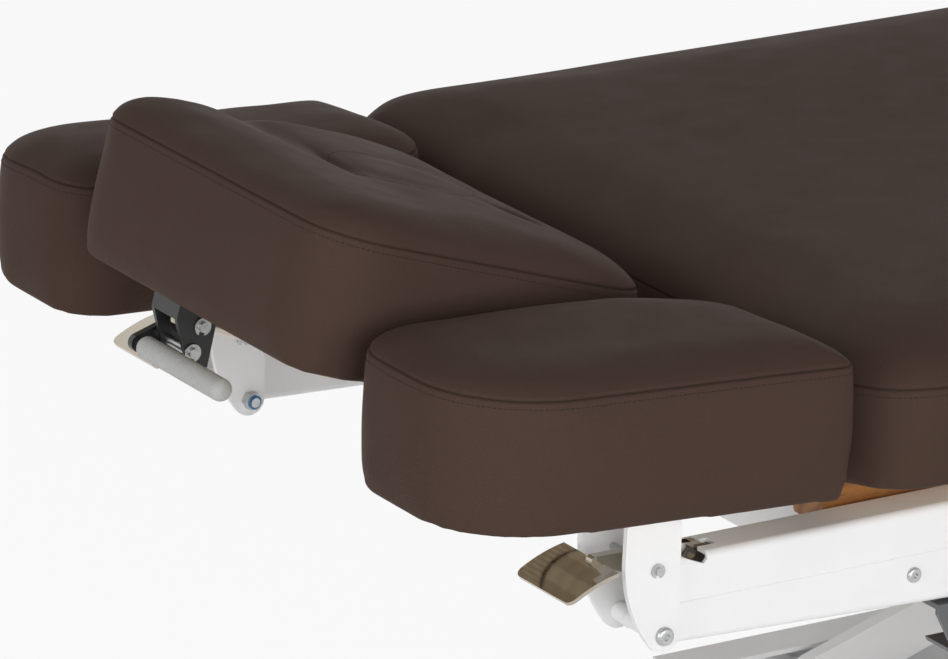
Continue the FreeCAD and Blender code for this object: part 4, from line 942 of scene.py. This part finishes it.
def ramp(value, low, high):
    """0 below low, 1 above high, smooth between."""
    share = np.clip((value - low) / (high - low), 0, 1)
    return share * share * (3 - 2 * share)


def sag(mesh, low, high, side):
    """Soft shoulder along the +Y edge: it falls most at the foot end and may rise midway."""
    local = arm_level.inside(points_of(mesh))
    u, y, v = local.T
    across = ramp(y, low[1] + SAG_ACROSS_FROM * (high[1] - low[1]), high[1])
    share = (u - low[0]) / (high[0] - low[0])
    along = SAG_ALL_ALONG[side] + (1 - SAG_ALL_ALONG[side]) * ramp(share, SAG_FOOT_FROM, 1.0)
    along -= RISE_MIDWAY[side] * bell(share, RISE_AT, RISE_HALF)
    local[:, 2] -= SAG * across * along * ramp(v, low[2] + SAG_ABOVE, ARMREST_SEAM)
    put_points(mesh, arm_level.outside(local))


print("shoulder falls at most", SAG)

# %% Armrests
SMALL_PAD = {"voxel": 0.006, "cap": 0.0025, "rounds": 6, "fullness": 0.0015}


def everywhere(points):
    """The seam may run anywhere on the pad."""
    return np.ones(len(points), bool)


def reflect(obj, name):
    """Mirror image across the middle of the table, with its faces pointing out."""
    bm = bmesh.new()
    bm.from_mesh(obj.data)
    bmesh.ops.scale(bm, vec=(1, -1, 1), verts=bm.verts)
    bmesh.ops.reverse_faces(bm, faces=bm.faces)
    twin = new_object(name, bm)
    for material in obj.data.materials:
        twin.data.materials.append(material)
    return twin


armrest = upholster(["armrest_cushion_right", "armrest_board_right"], "armrest_pad_right",
                    arm_level, **SMALL_PAD)
armrest_plane = seam_plane(arm_level, (0.0, 0.0, ARMREST_SEAM), 0.0)
armrest_row, armrest_out = sew(armrest, armrest_plane, everywhere)
armrest_thread = stitch_row("armrest_stitches_right", armrest_row, armrest_out, arm_level)
for side, pad, row in (("right", armrest, armrest_thread),
                       ("left", reflect(armrest, "armrest_pad_left"),
                        reflect(armrest_thread, "armrest_stitches_left"))):
    corners = arm_level.inside(points_of(pad.data))
    for mesh in (pad.data, row.data):
        sag(mesh, corners.min(0), corners.max(0), side)
    finish_pad(pad, "armrest_" + side, ["armrest_cushion_" + side])
    row.data.shade_smooth()
    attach(row, "armrest_" + side)
print("armrest triangles", 2 * len(armrest.data.polygons))

# %% [markdown]
# ## The headrest and its plug
# The headrest is a wedge with a rolled head end, a shallow valley behind the roll, and a face
# opening that a plug fills so neatly that only a fine line shows. Two pads made apart would never
# meet so well, so the cushion, board and plug are blown up as one skin, and an oval cutter then
# splits the skin with two Boolean modifiers: what is inside the oval is the plug, what is outside
# it the headrest. The valley and the tuck beside the plug are pushed in with smooth bell curves.

# %% Headrest skin
HEAD_SEAM = 0.129
HEAD_MIDDLE = -0.200
HEAD_LEAN = math.radians(4.4)
HOLE_AT = -0.178
HOLE_A = 0.058
HOLE_B = 0.056
RIM_ROUNDS = 60
RIM_HALF = 0.3
TOP_STARTS = -0.004
TOP_FULL = 0.012
VALLEY_AT = -0.236
VALLEY_HALF = 0.022
VALLEY_DEPTH = 0.0065
VALLEY_FADE = 0.15
VALLEY_LEAST = 0.15
TUCK_DEPTH = 0.005
TUCK = {"at": -0.122, "half": 0.006, "slant": 0.35, "middle": -0.078, "reach": 0.022}
SLIT_DEPTH = 0.004
SLIT = {"at": -0.229, "half": 0.005, "slant": -0.10, "middle": 0.015, "reach": 0.040}


def oval_share(local):
    """0 in the middle of the face opening, 1 on its rim."""
    return np.hypot((local[:, 0] - HOLE_AT) / HOLE_A, local[:, 1] / HOLE_B)


def crease(u, y, at, half, slant, middle, reach):
    """1 along a short slanting line across the pad, fading beside it and at its ends."""
    return bell(u + slant * (y - middle), at, half) * bell(y, middle, reach)


def shape_headrest(obj):
    """Smooth the skin over the rim of the plug, then press in the valley, the tuck and the slit."""
    points = points_of(obj.data)
    local = head_level.inside(points)
    u, y, v = local.T
    top = ramp(v, HEAD_SEAM + TOP_STARTS, HEAD_SEAM + TOP_FULL)
    rim = bell(oval_share(local), 1.0, RIM_HALF) * top
    calm = head_level.inside(even_out(obj.data, points.copy(), RIM_ROUNDS))
    local += (calm - local) * rim[:, None]
    deepening = VALLEY_LEAST + (1 - VALLEY_LEAST) * ramp(y, -VALLEY_FADE, VALLEY_FADE)
    valley = bell(u, VALLEY_AT, VALLEY_HALF) * deepening
    tuck = crease(u, y, **TUCK)
    slit = crease(u, y, **SLIT)
    local[:, 2] -= top * (VALLEY_DEPTH * valley + TUCK_DEPTH * tuck + SLIT_DEPTH * slit)
    put_points(obj.data, head_level.outside(local))


head_skin = upholster(["headrest_cushion", "headrest_board", "face_plug"], "headrest_pad",
                      head_level, **SMALL_PAD)
shape_headrest(head_skin)
print("headrest skin faces", len(head_skin.data.polygons))

# %% Headrest seam
CLEAR_OF_RIM = 1.25


def head_outer(points):
    """Only the outside of the pad, well clear of the face opening."""
    return oval_share(head_level.inside(points)) > CLEAR_OF_RIM


head_plane = seam_plane(head_level, (HEAD_MIDDLE, 0.0, HEAD_SEAM), HEAD_LEAN)
head_row, head_out = sew(head_skin, head_plane, head_outer)
head_thread = stitch_row("headrest_stitches", head_row, head_out, head_level)
head_thread.data.shade_smooth()
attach(head_thread, "headrest")
print("headrest seam points", len(head_row))

# %% Split the plug from the headrest
PLUG_FOOT = 0.0436
CUTTER_TOP = 0.26
SPLIT_GAP = 0.0002
LIP_SEGMENTS = 96


def oval_cutter(name, shrink):
    """Upright oval cylinder in the headrest's level coordinates."""
    bm = bmesh.new()
    scale = Matrix.Diagonal((HOLE_A - shrink, HOLE_B - shrink, CUTTER_TOP - PLUG_FOOT, 1))
    place = Matrix.Translation((HOLE_AT, 0, (CUTTER_TOP + PLUG_FOOT) / 2))
    bmesh.ops.create_cone(bm, cap_ends=True, segments=LIP_SEGMENTS, radius1=1.0, radius2=1.0,
                          depth=1.0, matrix=head_level.matrix() @ place @ scale)
    return new_object(name, bm)


def cut(obj, cutter, operation):
    """Boolean with a cutter, which is used up."""
    split = obj.modifiers.new("split", "BOOLEAN")
    split.operation = operation
    split.solver = "EXACT"
    split.object = cutter
    bake(obj)
    bpy.data.objects.remove(cutter)


plug = bpy.data.objects.new("face_plug_pad", head_skin.data.copy())
bpy.context.scene.collection.objects.link(plug)
cut(plug, oval_cutter("plug_cutter", 2 * SPLIT_GAP), "INTERSECT")
cut(head_skin, oval_cutter("hole_cutter", 0.0), "DIFFERENCE")
finish_pad(head_skin, "headrest", ["headrest_cushion"])
finish_pad(plug, "face_plug", ["face_plug"])
print("headrest faces", len(head_skin.data.polygons), "plug faces", len(plug.data.polygons))

# %% [markdown]
# ## The long body section
# The long pad is the main bed of the table. It is the same recipe with a coarser remesh: fine quads
# over so long a pad would cost hundreds of thousands of faces, and only its gentle crown and its
# rounded head end have to show.

# %% Body section
BODY_SEAM = 0.082
LONG_PAD = {"voxel": 0.0125, "cap": 0.004, "rounds": 3, "fullness": 0.004}
body_pad = upholster(["body_cushion", "deck_board"], "body_pad", body_level, **LONG_PAD)
body_plane = seam_plane(body_level, (0.0, 0.0, BODY_SEAM), 0.0)
body_row, body_out = sew(body_pad, body_plane, everywhere)
body_thread = stitch_row("body_stitches", body_row, body_out, body_level)
finish_pad(body_pad, "frame", ["body_cushion"])
body_thread.data.shade_smooth()
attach(body_thread, "frame")
print("body triangles", 2 * len(body_pad.data.polygons))

# %% [markdown]
# ## Floor and light
# A white sweep with large soft lamps is how such furniture is photographed. The lamps and the world
# light the table at a plain level. The white of the background is painted only for rays that the
# camera, or a mirror, sends out, so it doesn't flood the table with light, and the floor keeps a
# share of its real shading so that the shadow stays.

# %% World
HORIZON_LIGHT = 0.72
ZENITH_LIGHT = 0.06


def seen_rays(tree):
    """1 for camera, glossy and transmission rays."""
    path = tree.nodes.new("ShaderNodeLightPath")
    seen = math_node(tree, "MAXIMUM", path.outputs["Is Camera Ray"], path.outputs["Is Glossy Ray"])
    return math_node(tree, "MAXIMUM", seen, path.outputs["Is Transmission Ray"])


def make_world():
    """White to the camera; as a light it is bright at the horizon and dim overhead."""
    world = bpy.data.worlds.new("studio")
    world.use_nodes = True
    tree = world.node_tree
    back = tree.nodes["Background"]
    turn = tree.nodes.new("ShaderNodeTexCoord").outputs["Generated"]
    rise = add(tree, "ShaderNodeSeparateXYZ", None, Vector=turn).outputs["Z"]
    level = remap(tree, rise, 0.0, 1.0, HORIZON_LIGHT, ZENITH_LIGHT)
    seen = seen_rays(tree)
    strength = add(tree, "ShaderNodeMix", {"data_type": "FLOAT"}, in0=seen, in2=level, in3=1.0)
    tree.links.new(strength.outputs[0], back.inputs["Strength"])
    back.inputs["Color"].default_value = (1, 1, 1, 1)
    bpy.context.scene.world = world


make_world()
print("world light from", ZENITH_LIGHT, "to", HORIZON_LIGHT)

# %% Floor
FLOOR_R = 30.0
FLOOR_SEGMENTS = 64
FLOOR_COLOUR = (0.97, 0.97, 0.97, 1)
FLOOR_WHITE = 0.91


def make_floor():
    bm = bmesh.new()
    bmesh.ops.create_circle(bm, cap_ends=True, segments=FLOOR_SEGMENTS, radius=FLOOR_R)
    floor = new_object("floor", bm)
    material = bpy.data.materials.new("pale_floor")
    material.use_nodes = True
    tree = material.node_tree
    tree.nodes.remove(tree.nodes["Principled BSDF"])
    matt = add(tree, "ShaderNodeBsdfDiffuse", None, Color=FLOOR_COLOUR)
    glow = add(tree, "ShaderNodeEmission", None, Color=(1, 1, 1, 1), Strength=1.0)
    share = math_node(tree, "MULTIPLY", seen_rays(tree), FLOOR_WHITE)
    both = add(tree, "ShaderNodeMixShader", None, in0=share, in1=matt.outputs[0],
               in2=glow.outputs[0])
    tree.links.new(both.outputs[0], tree.nodes["Material Output"].inputs["Surface"])
    floor.data.materials.append(material)


make_floor()
print("floor radius", FLOOR_R)

# %% Lamps


def softbox(name, spot, aim, size, power):
    """Rectangular lamp that faces the point it aims at."""
    data = bpy.data.lights.new(name, "AREA")
    data.shape = "RECTANGLE"
    data.size, data.size_y = size
    data.energy = power
    lamp = bpy.data.objects.new(name, data)
    lamp.location = spot
    lamp.rotation_euler = (Vector(aim) - Vector(spot)).to_track_quat("-Z", "Y").to_euler()
    bpy.context.scene.collection.objects.link(lamp)
    return lamp


HEAD_END = (-0.75, 0.0, 0.5)
TABLE_TOP = (0.0, 0.0, 0.6)
softbox("key", spot=(-1.4, -4.4, 1.4), aim=HEAD_END, size=(3.0, 2.0), power=86.0)
softbox("head_fill", spot=(-4.4, -0.8, 1.3), aim=HEAD_END, size=(2.4, 2.0), power=40.0)
softbox("top", spot=(0.2, 0.6, 4.2), aim=TABLE_TOP, size=(3.4, 2.4), power=4.0)

# %% Finish
bpy.context.scene.view_settings.view_transform = "Standard"
